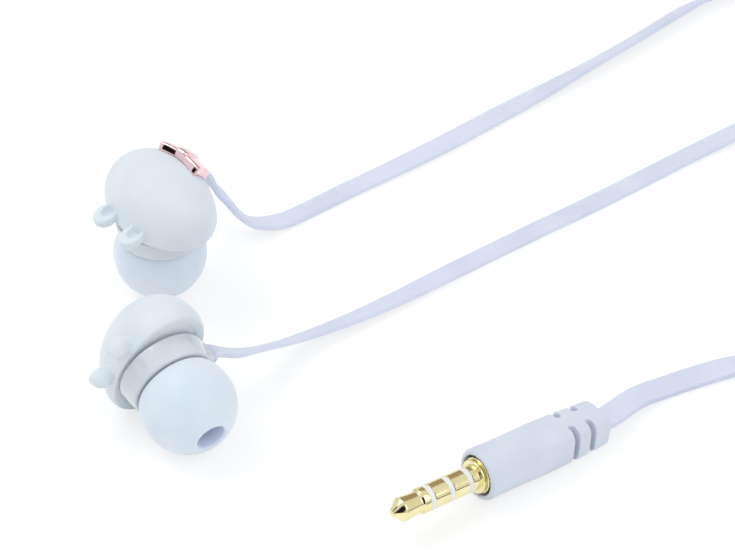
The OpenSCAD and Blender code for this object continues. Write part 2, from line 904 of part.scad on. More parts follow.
// Points [x, y, z, roll] that each free run of cord follows
left_start = exit_run([left_x, left_y, left_z], left_lean, left_heading, left_turn, LEFT);
left_route = [
    [2.1, 25.1, 12.3, 88], [3, 27.3, 11.3, 82], [4.2, 28.6, 9.7, 74], [5.6, 28.8, 7.8, 66],
    [7.3, 28.2, 5.9, 52],
    [9.2, 27.7, 3.6, 34], [11.3, 28.1, 2, 16], [14.6, 29.9, 0.9, 4], [17.8, 32.3, 0.6, 0],
    [24.5, 37.7, 0.6, 3], [31.6, 43, 0.8, 7], [38.8, 48.7, 0.9, 12], [46.2, 55.3, 0.8, 8],
    [53.7, 61.8, 0.8, -6], [61.4, 68.2, 1.3, -28], [69.3, 75.5, 1.4, -33], [77.8, 83.9, 1.4, -34],
    [84.3, 88.5, 1.5, -56], [91.3, 90.6, 1.5, -80], [98.3, 90.9, 1.47, -90]
];
right_start = exit_run([right_x, right_y, right_z], right_lean, right_heading, right_turn, RIGHT);
right_route = [
    [9.2, -6.85, 7.45, 2], [11.5, -5.1, 6.2, -12], [14.4, -1.5, 3.9, -22], [18.1, 2.3, 2.1, -24],
    [24.7, 7.2, 1.2, -22],
    [31.4, 12.3, 0.8, -10], [38.3, 17.9, 0.6, -2], [45.2, 23.3, 0.5, 0], [52.3, 28.7, 0.5, 0],
    [59.6, 34.1, 0.5, 0], [66.9, 39.8, 0.5, 0], [74.7, 45.9, 0.6, 0], [81.7, 50.8, 1, 0],
    [86.5, 53.1, 2.2, 0]
];
plug_route = [
    [63.7, -9.1, 1.1, 0], [67.9, -6.3, 0.6, 0], [72.8, -3.9, 0.6, 0], [77.9, -2, 0.8, -6],
    [82.3, -1.9, 1.6, -34], [85.4, -4.9, 3.2, -66], [86.6, -9, 5, -86]
];
left_link_route = [
    [128.1, 65.8, 4.6, 90], [129.2, 57.3, 3, 82], [130.5, 48.3, 1.7, 56], [131.3, 38.3, 0.9, 22],
    [131.5, 28.3, 0.6, 0], [131.3, 19.3, 0.9, 0], [131.3, 13.8, 1.9, 0]
];
right_link_1_route = [[119.9, 48.2, 3.3, 14], [122.2, 44.7, 4.1, 44], [122.9, 39.9, 4.8, 76]];
right_link_2_route = [[126.6, 18.3, 1.6, 70], [127.2, 14.1, 1.9, 26]];
plug_link_route = [[128.2, -10.9, 1.9, 66], [128.9, -8.3, 2.1, 24]];

// A coil stands on edge in two layers: it spirals in, climbs in the half turn where it
// reverses and spirals out. `sweep` is the whole angle that it turns through.
left_coil_at = [111.3, 74.8];
left_coil_start = 100;
left_coil_sweep = 815;
right_coil_at = [109.3, 24.8];
right_coil_start = 25;
right_coil_sweep = 745;
main_coil_at = [107.3, -17.2];
main_coil_start = 180;
main_coil_sweep = 2340;
CLOCKWISE = -1;
COUNTERCLOCKWISE = 1;
rings_per_turn = 24;

function ease(x) = x <= 0 ? 0 : x >= 1 ? 1 : x * x * (3 - 2 * x);
function coil_layer(s, sweep, w, from_top) =
    let (climb = ease((s - (sweep - 180) / 2) / 180), low = w / 2, high = 1.5 * w + layer_gap)
    from_top ? high + (low - high) * climb : low + (high - low) * climb;
function coil_point(s, at, r, pitch, w, start, sweep, way, from_top) =
    let (rr = r - pitch * min(s, sweep - s) / 360, a = start + way * s)
    [at[0] + rr * cos(a), at[1] + rr * sin(a), coil_layer(s, sweep, w, from_top), 90];
// The winding with one straight cord width at each end
function coil_path(at, r, pitch, w, start, sweep, way, from_top) =
    let (
        n = ceil(sweep * rings_per_turn / 360),
        p = [for (i = [0 : n]) coil_point(sweep * i / n, at, r, pitch, w, start, sweep, way, from_top)],
        head = unit(p[0] - p[1]),
        tail = unit(p[n] - p[n - 1])
    )
    concat([p[0] + w * head], p, [p[n] + w * tail]);

left_coil_path = coil_path(left_coil_at, left_coil_r, branch_pitch, branch_w,
    left_coil_start, left_coil_sweep, CLOCKWISE, false);
right_coil_path = coil_path(right_coil_at, right_coil_r, branch_pitch, branch_w,
    right_coil_start, right_coil_sweep, CLOCKWISE, true);
main_coil_path = coil_path(main_coil_at, main_coil_r, main_pitch, main_w,
    main_coil_start, main_coil_sweep, COUNTERCLOCKWISE, true);

function first(path) = path[0];
function last(path) = path[len(path) - 1];
function rolled(p, roll) = [p[0], p[1], p[2], roll];

plug_way = turn_z(turn_y([1, 0, 0], plug_pitch), plug_heading);
plug_end = [plug_x, plug_y, plug_z] + grip_end * plug_way;
plug_out = plug_end + 2 * plug_way;
remote_way = turn_z([1, 0, 0], remote_heading);
splitter_way = turn_z([1, 0, 0], splitter_heading);
remote_in = [remote_x, remote_y, remote_split];
remote_out = end_at(remote_in, remote_heading, remote_l, 0, 0);
splitter_at = [splitter_x, splitter_y, split_z];
left_port = end_at(splitter_at, splitter_heading, 0, branch_side, 0);
right_port = end_at(splitter_at, splitter_heading, 0, -branch_side, 0);
plug_port = end_at(splitter_at, splitter_heading, splitter_l, 0, 0);

// Smooth curve through route points, `n` steps to a span
function smooth(p, n) =
    let (k = len(p) - 1)
    concat(
        [for (i = [0 : k - 1], j = [0 : n - 1])
            let (
                a = p[max(i - 1, 0)], b = p[i], c = p[i + 1], d = p[min(i + 2, k)], u = j / n
            )
            b + 0.5 * u * (c - a + u * (2 * a - 5 * b + 4 * c - d + u * (3 * (b - c) + d - a)))],
        [p[k]]
    );
left_path = smooth(concat(left_start, left_route, [rolled(first(left_coil_path), -90)]), 1);
right_path = smooth(concat(right_start, right_route, [rolled(remote_in, 0)]), 1);
plug_path = smooth(concat([rolled(plug_end, 0), rolled(plug_out, 0)], plug_route,
    [rolled(first(main_coil_path), -90)]), 1);
left_link_path = smooth(concat([last(left_coil_path)], left_link_route, [rolled(left_port, 0)]), 1);
right_link_1_path = smooth(concat([rolled(remote_out, 0)], right_link_1_route,
    [first(right_coil_path)]), 2);
right_link_2_path = smooth(concat([last(right_coil_path)], right_link_2_route,
    [rolled(right_port, 0)]), 2);
plug_link_path = smooth(concat([last(main_coil_path)], plug_link_route, [rolled(plug_port, 0)]), 2);

function xyz(p) = [p[0], p[1], p[2]];
function heading_at(path, i) =
    unit(xyz(path[min(i + 1, len(path) - 1)]) - xyz(path[max(i - 1, 0)]));
function start_way(path) = heading_at(path, 0);
function end_way(path) = heading_at(path, len(path) - 1);
// Sections across a flat cord: [across its width, across its thickness]
function eight_sides(w, t) =
    let (a = w / 2, b = t / 2, c = 0.3 * t)
    [[a, c - b], [a, b - c], [a - c, b], [c - a, b], [-a, b - c], [-a, c - b], [c - a, -b], [a - c, -b]];
function six_sides(w, t) =
    let (a = w / 2, b = t / 2, c = 0.35 * t)
    [[a, 0], [a - c, b], [c - a, b], [-a, 0], [c - a, -b], [a - c, -b]];

// A flat cord along a path; its end faces stand square to the ways in and out
module ribbon(path, section, way_in, way_out) {
    m = len(section);
    n = len(path);
    points = [
        for (i = [0 : n - 1])
            let (
                t = i == 0 ? way_in : i == n - 1 ? way_out : heading_at(path, i),
                side = level(t),
                up = cross(t, side),
                w = side * cos(path[i][3]) + up * sin(path[i][3]),
                b = cross(t, w)
            )
            for (q = section) xyz(path[i]) + q[0] * w + q[1] * b
    ];
    walls = [
        for (i = [0 : n - 2], j = [0 : m - 1])
            let (a = i * m + j, b = i * m + (j + 1) % m)
            each [[a, a + m, b], [b, a + m, b + m]]
    ];
    start_cap = [for (j = [1 : m - 2]) [0, j, j + 1]];
    end_cap = [for (j = [1 : m - 2]) [(n - 1) * m, (n - 1) * m + j + 1, (n - 1) * m + j]];
    polyhedron(points = points, faces = concat(walls, start_cap, end_cap), convexity = 10);
}

module branch_run(path, way_in, way_out) {
    color(cord_colour) ribbon(path, eight_sides(branch_w, branch_t), way_in, way_out);
}

module main_run(path, way_in, way_out) {
    color(cord_colour) ribbon(path, eight_sides(main_w, main_t), way_in, way_out);
}

module branch_coil(path) {
    color(cord_colour) ribbon(path, six_sides(branch_w, branch_t), start_way(path), end_way(path));
}

module main_coil(path) {
    color(cord_colour) ribbon(path, six_sides(main_w, main_t), start_way(path), end_way(path));
}

// Least gap between the turns of a coil, and the length of a run
function span_gap(a, b, at, w, t) =
    norm([max(0, abs(norm([a[0], a[1]] - at) - norm([b[0], b[1]] - at)) - t), max(0, abs(a[2] - b[2]) - w)]);
function coil_gap(path, at, w, t, per_turn) =
    min([for (i = [1 : len(path) - 2], j = [i + per_turn - 1 : per_turn : len(path) - 2], k = [0 : 1])
        if (j + k > i + per_turn - 2 && j + k < len(path) - 1)
            span_gap(path[i], path[j + k], at, w, t)]);
function run_length(path, i = 0) =
    i >= len(path) - 1 ? 0 : norm(xyz(path[i + 1]) - xyz(path[i])) + run_length(path, i + 1);
echo(left_coil_gap = coil_gap(left_coil_path, left_coil_at, branch_w, branch_t, rings_per_turn));
echo(right_coil_gap = coil_gap(right_coil_path, right_coil_at, branch_w, branch_t, rings_per_turn));
echo(main_coil_gap = coil_gap(main_coil_path, main_coil_at, main_w, main_t, rings_per_turn));
echo(left_length = run_length(left_path) + run_length(left_coil_path) + run_length(left_link_path));
echo(right_length = run_length(right_path) + remote_l + run_length(right_link_1_path)
    + run_length(right_coil_path) + run_length(right_link_2_path));
echo(plug_length = run_length(plug_path) + run_length(main_coil_path) + run_length(plug_link_path));

left_bud() head_cap();  // left_head_cap
left_bud() back_cover();  // left_back_cover
left_bud() bow();  // left_bow
left_bud() rear_housing(LEFT);  // left_rear_housing
left_bud() cord_collar(LEFT);  // left_cord_collar
left_bud() nozzle_mesh();  // left_nozzle_mesh
left_bud() ear_tip();  // left_ear_tip
left_bud() driver_gasket();  // left_driver_gasket
left_bud() diaphragm();  // left_diaphragm
left_bud() voice_coil();  // left_voice_coil
left_bud() driver_frame();  // left_driver_frame
left_bud() top_plate();  // left_top_plate
left_bud() magnet();  // left_magnet
left_bud() magnet_cup();  // left_magnet_cup
left_bud() terminal_board(LEFT);  // left_terminal_board
right_bud() head_cap();  // right_head_cap
right_bud() back_cover();  // right_back_cover
right_bud() bow();  // right_bow
right_bud() rear_housing(RIGHT);  // right_rear_housing
right_bud() cord_collar(RIGHT);  // right_cord_collar
right_bud() nozzle_mesh();  // right_nozzle_mesh
right_bud() ear_tip();  // right_ear_tip
right_bud() driver_gasket();  // right_driver_gasket
right_bud() diaphragm();  // right_diaphragm
right_bud() voice_coil();  // right_voice_coil
right_bud() driver_frame();  // right_driver_frame
right_bud() top_plate();  // right_top_plate
right_bud() magnet();  // right_magnet
right_bud() magnet_cup();  // right_magnet_cup
right_bud() terminal_board(RIGHT);  // right_terminal_board
plug_tip();
plug_ring(ring_1_x, 2);  // plug_ring_1
plug_ring(ring_2_x, 4);  // plug_ring_2
plug_sleeve();
plug_insulator(contact_end, 1);  // plug_insulator_1
plug_insulator(ring_1_x + ring_w, 3);  // plug_insulator_2
plug_insulator(ring_2_x + ring_w, 5);  // plug_insulator_3
plug_grip();
splitter_lower_shell();
splitter_upper_shell();
remote_back_shell();
remote_front_shell();
remote_board();
remote_switch();
remote_microphone();
remote_button();
branch_run(left_path, start_way(left_start), start_way(left_coil_path));  // left_cord
branch_run(right_path, start_way(right_start), remote_way);  // right_cord
main_run(plug_path, plug_way, start_way(main_coil_path));  // plug_cord
branch_coil(left_coil_path);  // left_coil
branch_coil(right_coil_path);  // right_coil
main_coil(main_coil_path);  // plug_cord_coil
branch_run(left_link_path, end_way(left_coil_path), splitter_way);  // left_cord_link
branch_run(right_link_1_path, remote_way, start_way(right_coil_path));  // right_cord_link_1
branch_run(right_link_2_path, end_way(right_coil_path), splitter_way);  // right_cord_link_2
main_run(plug_link_path, end_way(main_coil_path), -splitter_way);  // plug_cord_link
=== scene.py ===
"""Looks of a pair of wired earphones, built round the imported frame.

Every piece is modelled in millimetres in the frame of its own sub-assembly, and is then laid
down in the row frame, in metres, where the frame's solids lie.
"""

import logging
import math
from collections.abc import Callable, Iterator, Sequence
from contextlib import contextmanager
from dataclasses import dataclass, field
from enum import Enum
from typing import TypeVar

import bpy
from mathutils import Matrix, Vector


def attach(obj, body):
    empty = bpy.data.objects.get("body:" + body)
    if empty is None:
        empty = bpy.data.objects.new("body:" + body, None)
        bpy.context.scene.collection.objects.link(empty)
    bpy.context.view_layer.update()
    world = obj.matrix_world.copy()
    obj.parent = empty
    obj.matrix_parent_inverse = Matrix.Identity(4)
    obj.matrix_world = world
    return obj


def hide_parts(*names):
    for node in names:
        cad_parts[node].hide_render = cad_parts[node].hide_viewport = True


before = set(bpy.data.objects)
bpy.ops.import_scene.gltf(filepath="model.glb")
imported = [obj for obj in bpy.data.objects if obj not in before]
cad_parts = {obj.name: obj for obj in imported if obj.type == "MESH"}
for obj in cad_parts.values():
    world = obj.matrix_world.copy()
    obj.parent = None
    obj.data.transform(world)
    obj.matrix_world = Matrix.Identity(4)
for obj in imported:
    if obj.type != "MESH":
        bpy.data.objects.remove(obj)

LOG = logging.getLogger("earphones")
MM = 0.001
ROOT = "earphones"

Point = tuple[float, float, float]
Pair = tuple[float, float]
Rgb = tuple[int, int, int]
Station = tuple[float, float, float, float]
Piece = bpy.types.Object
Material = bpy.types.Material
Socket = bpy.types.NodeSocket
Tree = bpy.types.NodeTree
Node = bpy.types.Node
Inputs = dict[str | int, object]
Amount = TypeVar("Amount", float, Vector)


class Side(Enum):
    """The two earbuds; the value is the sense in which the cord leaves the chin."""

    LEFT = 1
    RIGHT = -1

    @property
    def label(self) -> str:
        """Prefix of the names of this side's pieces."""
        return self.name.lower()


class Winding(Enum):
    """Sense in which a coil turns, seen from above."""

    CLOCKWISE = -1
    COUNTERCLOCKWISE = 1


# ---------------------------------------------------------------- small maths


def linear(colour: Rgb) -> tuple[float, float, float, float]:
    """Turns an 8-bit display colour into the linear colour that a shader takes.

    Args:
        colour: red, green and blue, 0 to 255.

    Returns:
        Linear red, green and blue, and alpha 1.
    """
    parts = []
    for value in colour:
        c = value / 255
        parts.append(c / 12.92 if c <= 0.04045 else ((c + 0.055) / 1.055) ** 2.4)
    return parts[0], parts[1], parts[2], 1.0


def arc(centre: Pair, radius: float, start: float, end: float, steps: int) -> list[Pair]:
    """Points along an arc, both ends included.

    Args:
        centre: centre of the arc.
        radius: its radius.
        start: first angle in degrees, 0 along the first axis.
        end: last angle in degrees.
        steps: number of equal steps.

    Returns:
        The points, steps + 1 of them.
    """
    points = []
    for i in range(steps + 1):
        a = math.radians(start + (end - start) * i / steps)
        points.append((centre[0] + radius * math.cos(a), centre[1] + radius * math.sin(a)))
    return points


def turn(axis: str, degrees: float) -> Matrix:
    """A rotation about one main axis."""
    return Matrix.Rotation(math.radians(degrees), 4, axis)


def ease(x: float) -> float:
    """Smooth step from 0 to 1."""
    x = min(max(x, 0.0), 1.0)
    return x * x * (3 - 2 * x)


def between(p: Amount, q: Amount, r: Amount, s: Amount, u: float) -> Amount:
    """Catmull-Rom value at share u of the way from q to r, with p before and s after them."""
    return q + u / 2 * (r - p + u * (2 * p - 5 * q + 4 * r - s + u * (3 * (q - r) + s - p)))


# ---------------------------------------------------------------- mesh tools


def activate(obj: Piece) -> None:
    """Leaves one object selected and active.

    Args:
        obj: the object.
    """
    bpy.ops.object.select_all(action="DESELECT")
    obj.select_set(True)
    bpy.context.view_layer.objects.active = obj


@contextmanager
def editing(obj: Piece, kind: str = "FACE") -> Iterator[None]:
    """Edit mode on one object with nothing selected.

    Args:
        obj: the mesh object.
        kind: selection mode, VERT, EDGE or FACE.

    Yields:
        Nothing; object mode is back afterwards.
    """
    activate(obj)
    bpy.ops.object.mode_set(mode="EDIT")
    bpy.ops.mesh.select_mode(type=kind)
    bpy.ops.mesh.select_all(action="DESELECT")
    try:
        yield
    finally:
        bpy.ops.object.mode_set(mode="OBJECT")


def pick_all() -> None:
    """Selects the whole mesh, from inside editing()."""
    bpy.ops.mesh.select_all(action="SELECT")


def pick_faces(obj: Piece, wanted: Callable[[Vector, Vector], bool]) -> None:
    """Selects faces by their centre and normal, from inside editing().

    Args:
        obj: the mesh object in edit mode.
        wanted: test of a face's centre and normal.
    """
    bpy.ops.mesh.select_all(action="DESELECT")
    bpy.ops.object.mode_set(mode="OBJECT")
    for face in obj.data.polygons:
        face.select = bool(wanted(face.center, face.normal))
    bpy.ops.object.mode_set(mode="EDIT")


def pick_edges(obj: Piece, wanted: Callable[[Vector, Vector], bool]) -> None:
    """Selects edges by their two ends, from inside editing(obj, "EDGE").

    Args:
        obj: the mesh object in edit mode.
        wanted: test of an edge's two ends.
    """
    bpy.ops.mesh.select_all(action="DESELECT")
    bpy.ops.object.mode_set(mode="OBJECT")
    mesh = obj.data
    for edge in mesh.edges:
        a, b = (mesh.vertices[i].co for i in edge.vertices)
        edge.select = bool(wanted(a, b))
    bpy.ops.object.mode_set(mode="EDIT")


def level_at(height: float) -> Callable[[Vector, Vector], bool]:
    """Test for an edge whose two ends lie at a height."""
    return lambda a, b: abs(a.z - height) < 0.001 and abs(b.z - height) < 0.001


def bevel(offset: float, segments: int) -> None:
    """Rounds what is selected, from inside editing()."""
    bpy.ops.mesh.bevel(offset=offset, segments=segments, affect="EDGES")


def face_outwards() -> None:
    """Turns every face outwards, from inside editing()."""
    pick_all()
    bpy.ops.mesh.normals_make_consistent(inside=False)


def apply_modifier(obj: Piece, kind: str, **settings: object) -> None:
    """Adds a modifier and applies it.

    Args:
        obj: the piece.
        kind: the modifier's type.
        settings: its properties.
    """
    modifier = obj.modifiers.new(kind.title(), kind)
    for name, value in settings.items():
        setattr(modifier, name, value)
    activate(obj)
    bpy.ops.object.modifier_apply(modifier=modifier.name)


def combine(obj: Piece, tool: Piece, how: str) -> None:
    """Applies a tool as UNION, DIFFERENCE or INTERSECT to a piece, and deletes the tool."""
    apply_modifier(obj, "BOOLEAN", object=tool, operation=how, solver="EXACT")
    bpy.data.objects.remove(tool)


def join(pieces: Sequence[Piece]) -> Piece:
    """Joins several objects into the first one.

    Args:
        pieces: the objects.

    Returns:
        The first object, which holds them all.
    """
    activate(pieces[0])
    for piece in pieces:
        piece.select_set(True)
    bpy.ops.object.join()
    return pieces[0]


def stretched(size: Point, centre: Point) -> Piece:
    """Gives the primitive just added its size and place, in its mesh.

    Args:
        size: factors along the three axes.
        centre: place of its centre.

    Returns:
        The object, which stays at the origin.
    """
    obj = bpy.context.object
    with editing(obj):
        pick_all()
        bpy.ops.transform.resize(value=size)
        bpy.ops.transform.translate(value=centre)
    return obj


def block(size: Point, centre: Point) -> Piece:
    """A rectangular block of the given size round a centre."""
    bpy.ops.mesh.primitive_cube_add(size=1, location=(0, 0, 0))
    return stretched(size, centre)


def ellipsoid(radii: Point, centre: Point, segments: int = 96) -> Piece:
    """An ellipsoid with the given radii round a centre."""
    bpy.ops.mesh.primitive_uv_sphere_add(segments=segments, ring_count=segments // 2, radius=1)
    return stretched(radii, centre)


def rod(radius: float, start: Point, length: float, segments: int = 48) -> Piece:
    """A round rod that stands up from a point."""
    bpy.ops.mesh.primitive_cylinder_add(vertices=segments, radius=radius, depth=length)
    return stretched((1, 1, 1), (start[0], start[1], start[2] + length / 2))


def lathe(profile: Sequence[Pair], steps: int = 96) -> Piece:
    """Turns a profile of (radius, height) points round the Z axis.

    Args:
        profile: points in order; a closed profile ends where it starts, an open one on the axis.
        steps: segments in a full turn.

    Returns:
        The turned piece, its normals pointing outwards.
    """
    bpy.ops.mesh.primitive_plane_add(size=1, location=(0, 0, 0))
    obj = bpy.context.object
    with editing(obj, "VERT"):
        pick_all()
        bpy.ops.mesh.merge(type="COLLAPSE")
        pick_all()
        bpy.ops.transform.translate(value=(profile[0][0], 0, profile[0][1]))
        for (r0, z0), (r1, z1) in zip(profile, profile[1:]):
            bpy.ops.mesh.extrude_region()
            bpy.ops.transform.translate(value=(r1 - r0, 0, z1 - z0))
        pick_all()
        bpy.ops.mesh.spin(steps=steps, angle=math.tau, center=(0, 0, 0), axis=(0, 0, 1))
        pick_all()
        bpy.ops.mesh.remove_doubles(threshold=0.0005)
        bpy.ops.mesh.normals_make_consistent(inside=False)
    return obj


def chamfered(profile: Sequence[Pair], cut: float) -> list[Pair]:
    """Cuts the corners of an open profile, so that turned edges catch the light.

    Args:
        profile: points in order.
        cut: length that is taken off each side of a corner.

    Returns:
        The profile with two points for each inner corner.
    """
    points = [profile[0]]
    for before, here, after in zip(profile, profile[1:], profile[2:]):
        for other in (before, after):
            way = Vector(other) - Vector(here)
            step = min(cut, way.length / 2)
            points.append(tuple(Vector(here) + way.normalized() * step))
    return [*points, profile[-1]]


def soften(obj: Piece, voxel: float, rounds: int) -> None:
    """Makes one moulded skin of faces of a voxel's size, and rounds its edges in passes."""
    apply_modifier(obj, "REMESH", mode="VOXEL", voxel_size=voxel, adaptivity=0.0)
    apply_modifier(obj, "SMOOTH", factor=0.5, iterations=rounds)


# ---------------------------------------------------------------- seats in the frame


def lay_down(obj: Piece, name: str, place: Matrix, smooth_angle: float) -> None:
    """Names a finished piece, puts its place into its mesh and shades it.

    Args:
        obj: the piece, modelled in millimetres in its sub-assembly's frame.
        name: its final name.
        place: from that frame to the row frame, both in millimetres.
        smooth_angle: edges sharper than this stay crisp, in degrees.
    """
    obj.name = name
    obj.data.name = name
    obj.matrix_world = Matrix.Scale(MM, 4) @ place @ obj.matrix_world
    activate(obj)
    bpy.ops.object.transform_apply(location=True, rotation=True, scale=True)
    bpy.ops.object.shade_smooth_by_angle(angle=math.radians(smooth_angle))


def seat_piece(obj: Piece, body: str, slot: str, *nodes: str) -> None:
    """Seats a piece on a body in place of its solids.

    Args:
        obj: the finished piece.
        body: the body that it moves with.
        slot: not used.
        nodes: the frame's nodes that it stands for.
    """
    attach(obj, body)
    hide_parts(*nodes)
    LOG.info("%s rides on %s, %d faces", obj.name, body, len(obj.data.polygons))


def fit_piece(
    obj: Piece, name: str, place: Matrix, material: Material, slot: str, node: str,
    body: str = ROOT, smooth_angle: float = 40.0,
) -> None:
    """Dresses a finished piece in one finish, lays it down and seats it.

    Args:
        obj: the piece, modelled in millimetres in its sub-assembly's frame.
        name: its final name.
        place: from that frame to the row frame, both in millimetres.
        material: its finish.
        slot: not used.
        node: the frame's node that it stands for.
        body: the body that it moves with.
        smooth_angle: edges sharper than this stay crisp, in degrees.
    """
    obj.data.materials.clear()
    obj.data.materials.append(material)
    lay_down(obj, name, place, smooth_angle)
    seat_piece(obj, body, slot, node)


def dress_nodes(wanted: dict[str, Material]) -> None:
    """Gives nodes of the frame their materials.

    Args:
        wanted: the material of each node.
    """
    for name, material in wanted.items():
        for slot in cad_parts[name].material_slots:
            slot.material = material
        LOG.info("%s dressed in %s", name, material.name)


# ---------------------------------------------------------------- finishes


def add_node(tree: Tree, kind: str, inputs: Inputs | None = None, **settings: object) -> Node:
    """Adds a shader node.

    Args:
        tree: the node tree.
        kind: the node's type.
        inputs: for a socket's name or number, an output to join to it or its value.
        settings: properties of the node itself.

    Returns:
        The node.
    """
    node = tree.nodes.new(kind)
    for name, value in settings.items():
        setattr(node, name, value)
    set_inputs(tree, node, inputs or {})
    return node


def set_inputs(tree: Tree, node: Node, inputs: Inputs) -> None:
    """Joins or sets a node's sockets.

    Args:
        tree: the node tree.
        node: the node.
        inputs: for a socket's name or number, an output to join to it or its value.
    """
    for key, value in inputs.items():
        if isinstance(value, Socket):
            tree.links.new(value, node.inputs[key])
        else:
            node.inputs[key].default_value = value


class Nodes:
    """A material's node tree, with short calls for what the finishes share."""

    def __init__(self, name: str) -> None:
        """Starts a material with a Principled shader.

        Args:
            name: the material's name.
        """
        self.material = bpy.data.materials.new(name)
        self.material.use_nodes = True
        self.tree = self.material.node_tree
        self.object_point = add_node(self.tree, "ShaderNodeTexCoord").outputs["Object"]

    def noise(self, size: float, detail: float = 2.0) -> Socket:
        """Noise whose features are about `size` millimetres."""
        inputs = {"Vector": self.object_point, "Scale": 1 / (size * MM), "Detail": detail}
        return add_node(self.tree, "ShaderNodeTexNoise", inputs).outputs["Fac"]

    def blend(self, factor: Socket, low: Rgb, high: Rgb, span: Pair = (0.35, 0.65)) -> Socket:
        """Blends two colours where a factor runs through a span.

        Args:
            factor: the factor.
            low: colour below the span.
            high: colour above it.
            span: the span's two ends.

        Returns:
            The colour.
        """
        ramp = add_node(self.tree, "ShaderNodeValToRGB", {"Fac": factor})
        for element, position, colour in zip(ramp.color_ramp.elements, span, (low, high)):
            element.position = position
            element.color = linear(colour)
        return ramp.outputs["Color"]

    def spread(self, factor: Socket, low: float, high: float) -> Socket:
        """Maps a noise's usual range, 0.3 to 0.7, onto another one."""
        inputs = {"Value": factor, "From Min": 0.3, "From Max": 0.7, "To Min": low, "To Max": high}
        return add_node(self.tree, "ShaderNodeMapRange", inputs).outputs["Result"]

    def bump(self, height: Socket, depth: float) -> Socket:
        """Normal of a bump of the given depth in millimetres."""
        inputs = {"Strength": 1.0, "Distance": depth * MM, "Height": height}
        return add_node(self.tree, "ShaderNodeBump", inputs).outputs["Normal"]

    def dressed(self, inputs: Inputs) -> Material:
        """Joins or sets the Principled shader's sockets and returns the material."""
        set_inputs(self.tree, self.tree.nodes["Principled BSDF"], inputs)
        return self.material


@dataclass(frozen=True)
class MouldedFinish:
    """Moulded plastic or silicone: slow shade changes, a fine grain and uneven sheen."""

    name: str
    low: Rgb
    high: Rgb
    roughness: Pair
    patch: float = 5.0
    grain: float = 0.12
    grain_depth: float = 0.004
    coat: float = 0.0
    coat_roughness: float = 0.04
    subsurface: float = 0.0
    scatter: Point = (0.9, 0.95, 1.0)
    scatter_depth: float = 0.8
    specular: float = 0.5
    sheen: float = 0.0

    def material(self) -> Material:
        """Builds the material.

        Returns:
            The material.
        """
        nodes = Nodes(self.name)
        return nodes.dressed({
            "Base Color": nodes.blend(nodes.noise(self.patch), self.low, self.high),
            "Roughness": nodes.spread(nodes.noise(self.patch / 6), *self.roughness),
            "Normal": nodes.bump(nodes.noise(self.grain, 3.0), self.grain_depth),
            "Specular IOR Level": self.specular,
            "Coat Weight": self.coat,
            "Coat Roughness": self.coat_roughness,
            "Sheen Weight": self.sheen,
            "Subsurface Weight": self.subsurface,
            "Subsurface Radius": self.scatter,
            "Subsurface Scale": self.scatter_depth * MM,
        })


@dataclass(frozen=True)
class MetalFinish:
    """Plated or polished metal with faint tool marks."""

    name: str
    low: Rgb
    high: Rgb
    roughness: Pair
    cloud: float = 2.0
    mark: float = 0.4
    mark_depth: float = 0.002

    def material(self) -> Material:
        """Builds the material.

        Returns:
            The material.
        """
        nodes = Nodes(self.name)
        return nodes.dressed({
            "Base Color": nodes.blend(nodes.noise(self.cloud), self.low, self.high),
            "Roughness": nodes.spread(nodes.noise(self.mark), *self.roughness),
            "Normal": nodes.bump(nodes.noise(self.mark, 1.0), self.mark_depth),
            "Metallic": 1.0,
        })


@dataclass(frozen=True)
class WoundFinish:
    """Fine copper wire in close turns round the earbud's axis, with painted shade in the grooves
    between turns.
    """

    name: str
    low: Rgb
    high: Rgb
    wire: float
    axis: Point
    roughness: float = 0.35

    def material(self) -> Material:
        """Builds the material.

        Returns:
            The material.
        """
        nodes = Nodes(self.name)
        turns = tuple(x / (self.wire * MM) for x in self.axis)
        along = add_node(
            nodes.tree, "ShaderNodeVectorMath", {0: nodes.object_point, 1: turns},
            operation="DOT_PRODUCT",
        ).outputs["Value"]
        angle = add_node(
            nodes.tree, "ShaderNodeMath", {0: along, 1: math.tau}, operation="MULTIPLY"
        ).outputs["Value"]
        wave = add_node(nodes.tree, "ShaderNodeMath", {0: angle}, operation="SINE").outputs["Value"]
        return nodes.dressed({
            # Base colour follows the bump wave and is darker where the wave is low: painted shade
            # in the grooves between turns.
            "Base Color": nodes.blend(wave, self.low, self.high, (0.0, 1.0)),
            "Normal": nodes.bump(wave, self.wire / 4),
            "Metallic": 1.0,
            "Roughness": self.roughness,
        })


@dataclass(frozen=True)
class CordFinish:
    """Extruded flat cord: faint lines along its length and a dry, soft skin."""

    name: str
    low: Rgb
    high: Rgb
    roughness: Pair
    patch: float = 9.0
    wear: float = 1.5
    line: float = 0.25
    line_stretch: float = 0.02
    line_depth: float = 0.008
    subsurface: float = 0.15
    scatter: Point = (0.9, 0.95, 1.0)
    scatter_depth: float = 0.6

    def material(self) -> Material:
        """Builds the material; the cord's UV map runs along its length and round it.

        Returns:
            The material.
        """
        nodes = Nodes(self.name)
        uv = add_node(nodes.tree, "ShaderNodeUVMap", uv_map="cord").outputs["UV"]
        stretch = {"Vector": uv, "Scale": (self.line_stretch, 1.0, 1.0)}
        drawn = add_node(nodes.tree, "ShaderNodeMapping", stretch).outputs["Vector"]
        lines = add_node(
            nodes.tree, "ShaderNodeTexNoise", {"Vector": drawn, "Scale": 1 / (self.line * MM)}
        ).outputs["Fac"]
        return nodes.dressed({
            "Base Color": nodes.blend(nodes.noise(self.patch), self.low, self.high),
            "Roughness": nodes.spread(nodes.noise(self.wear), *self.roughness),
            "Normal": nodes.bump(lines, self.line_depth),
            "Subsurface Weight": self.subsurface,
            "Subsurface Radius": self.scatter,
            "Subsurface Scale": self.scatter_depth * MM,
        })


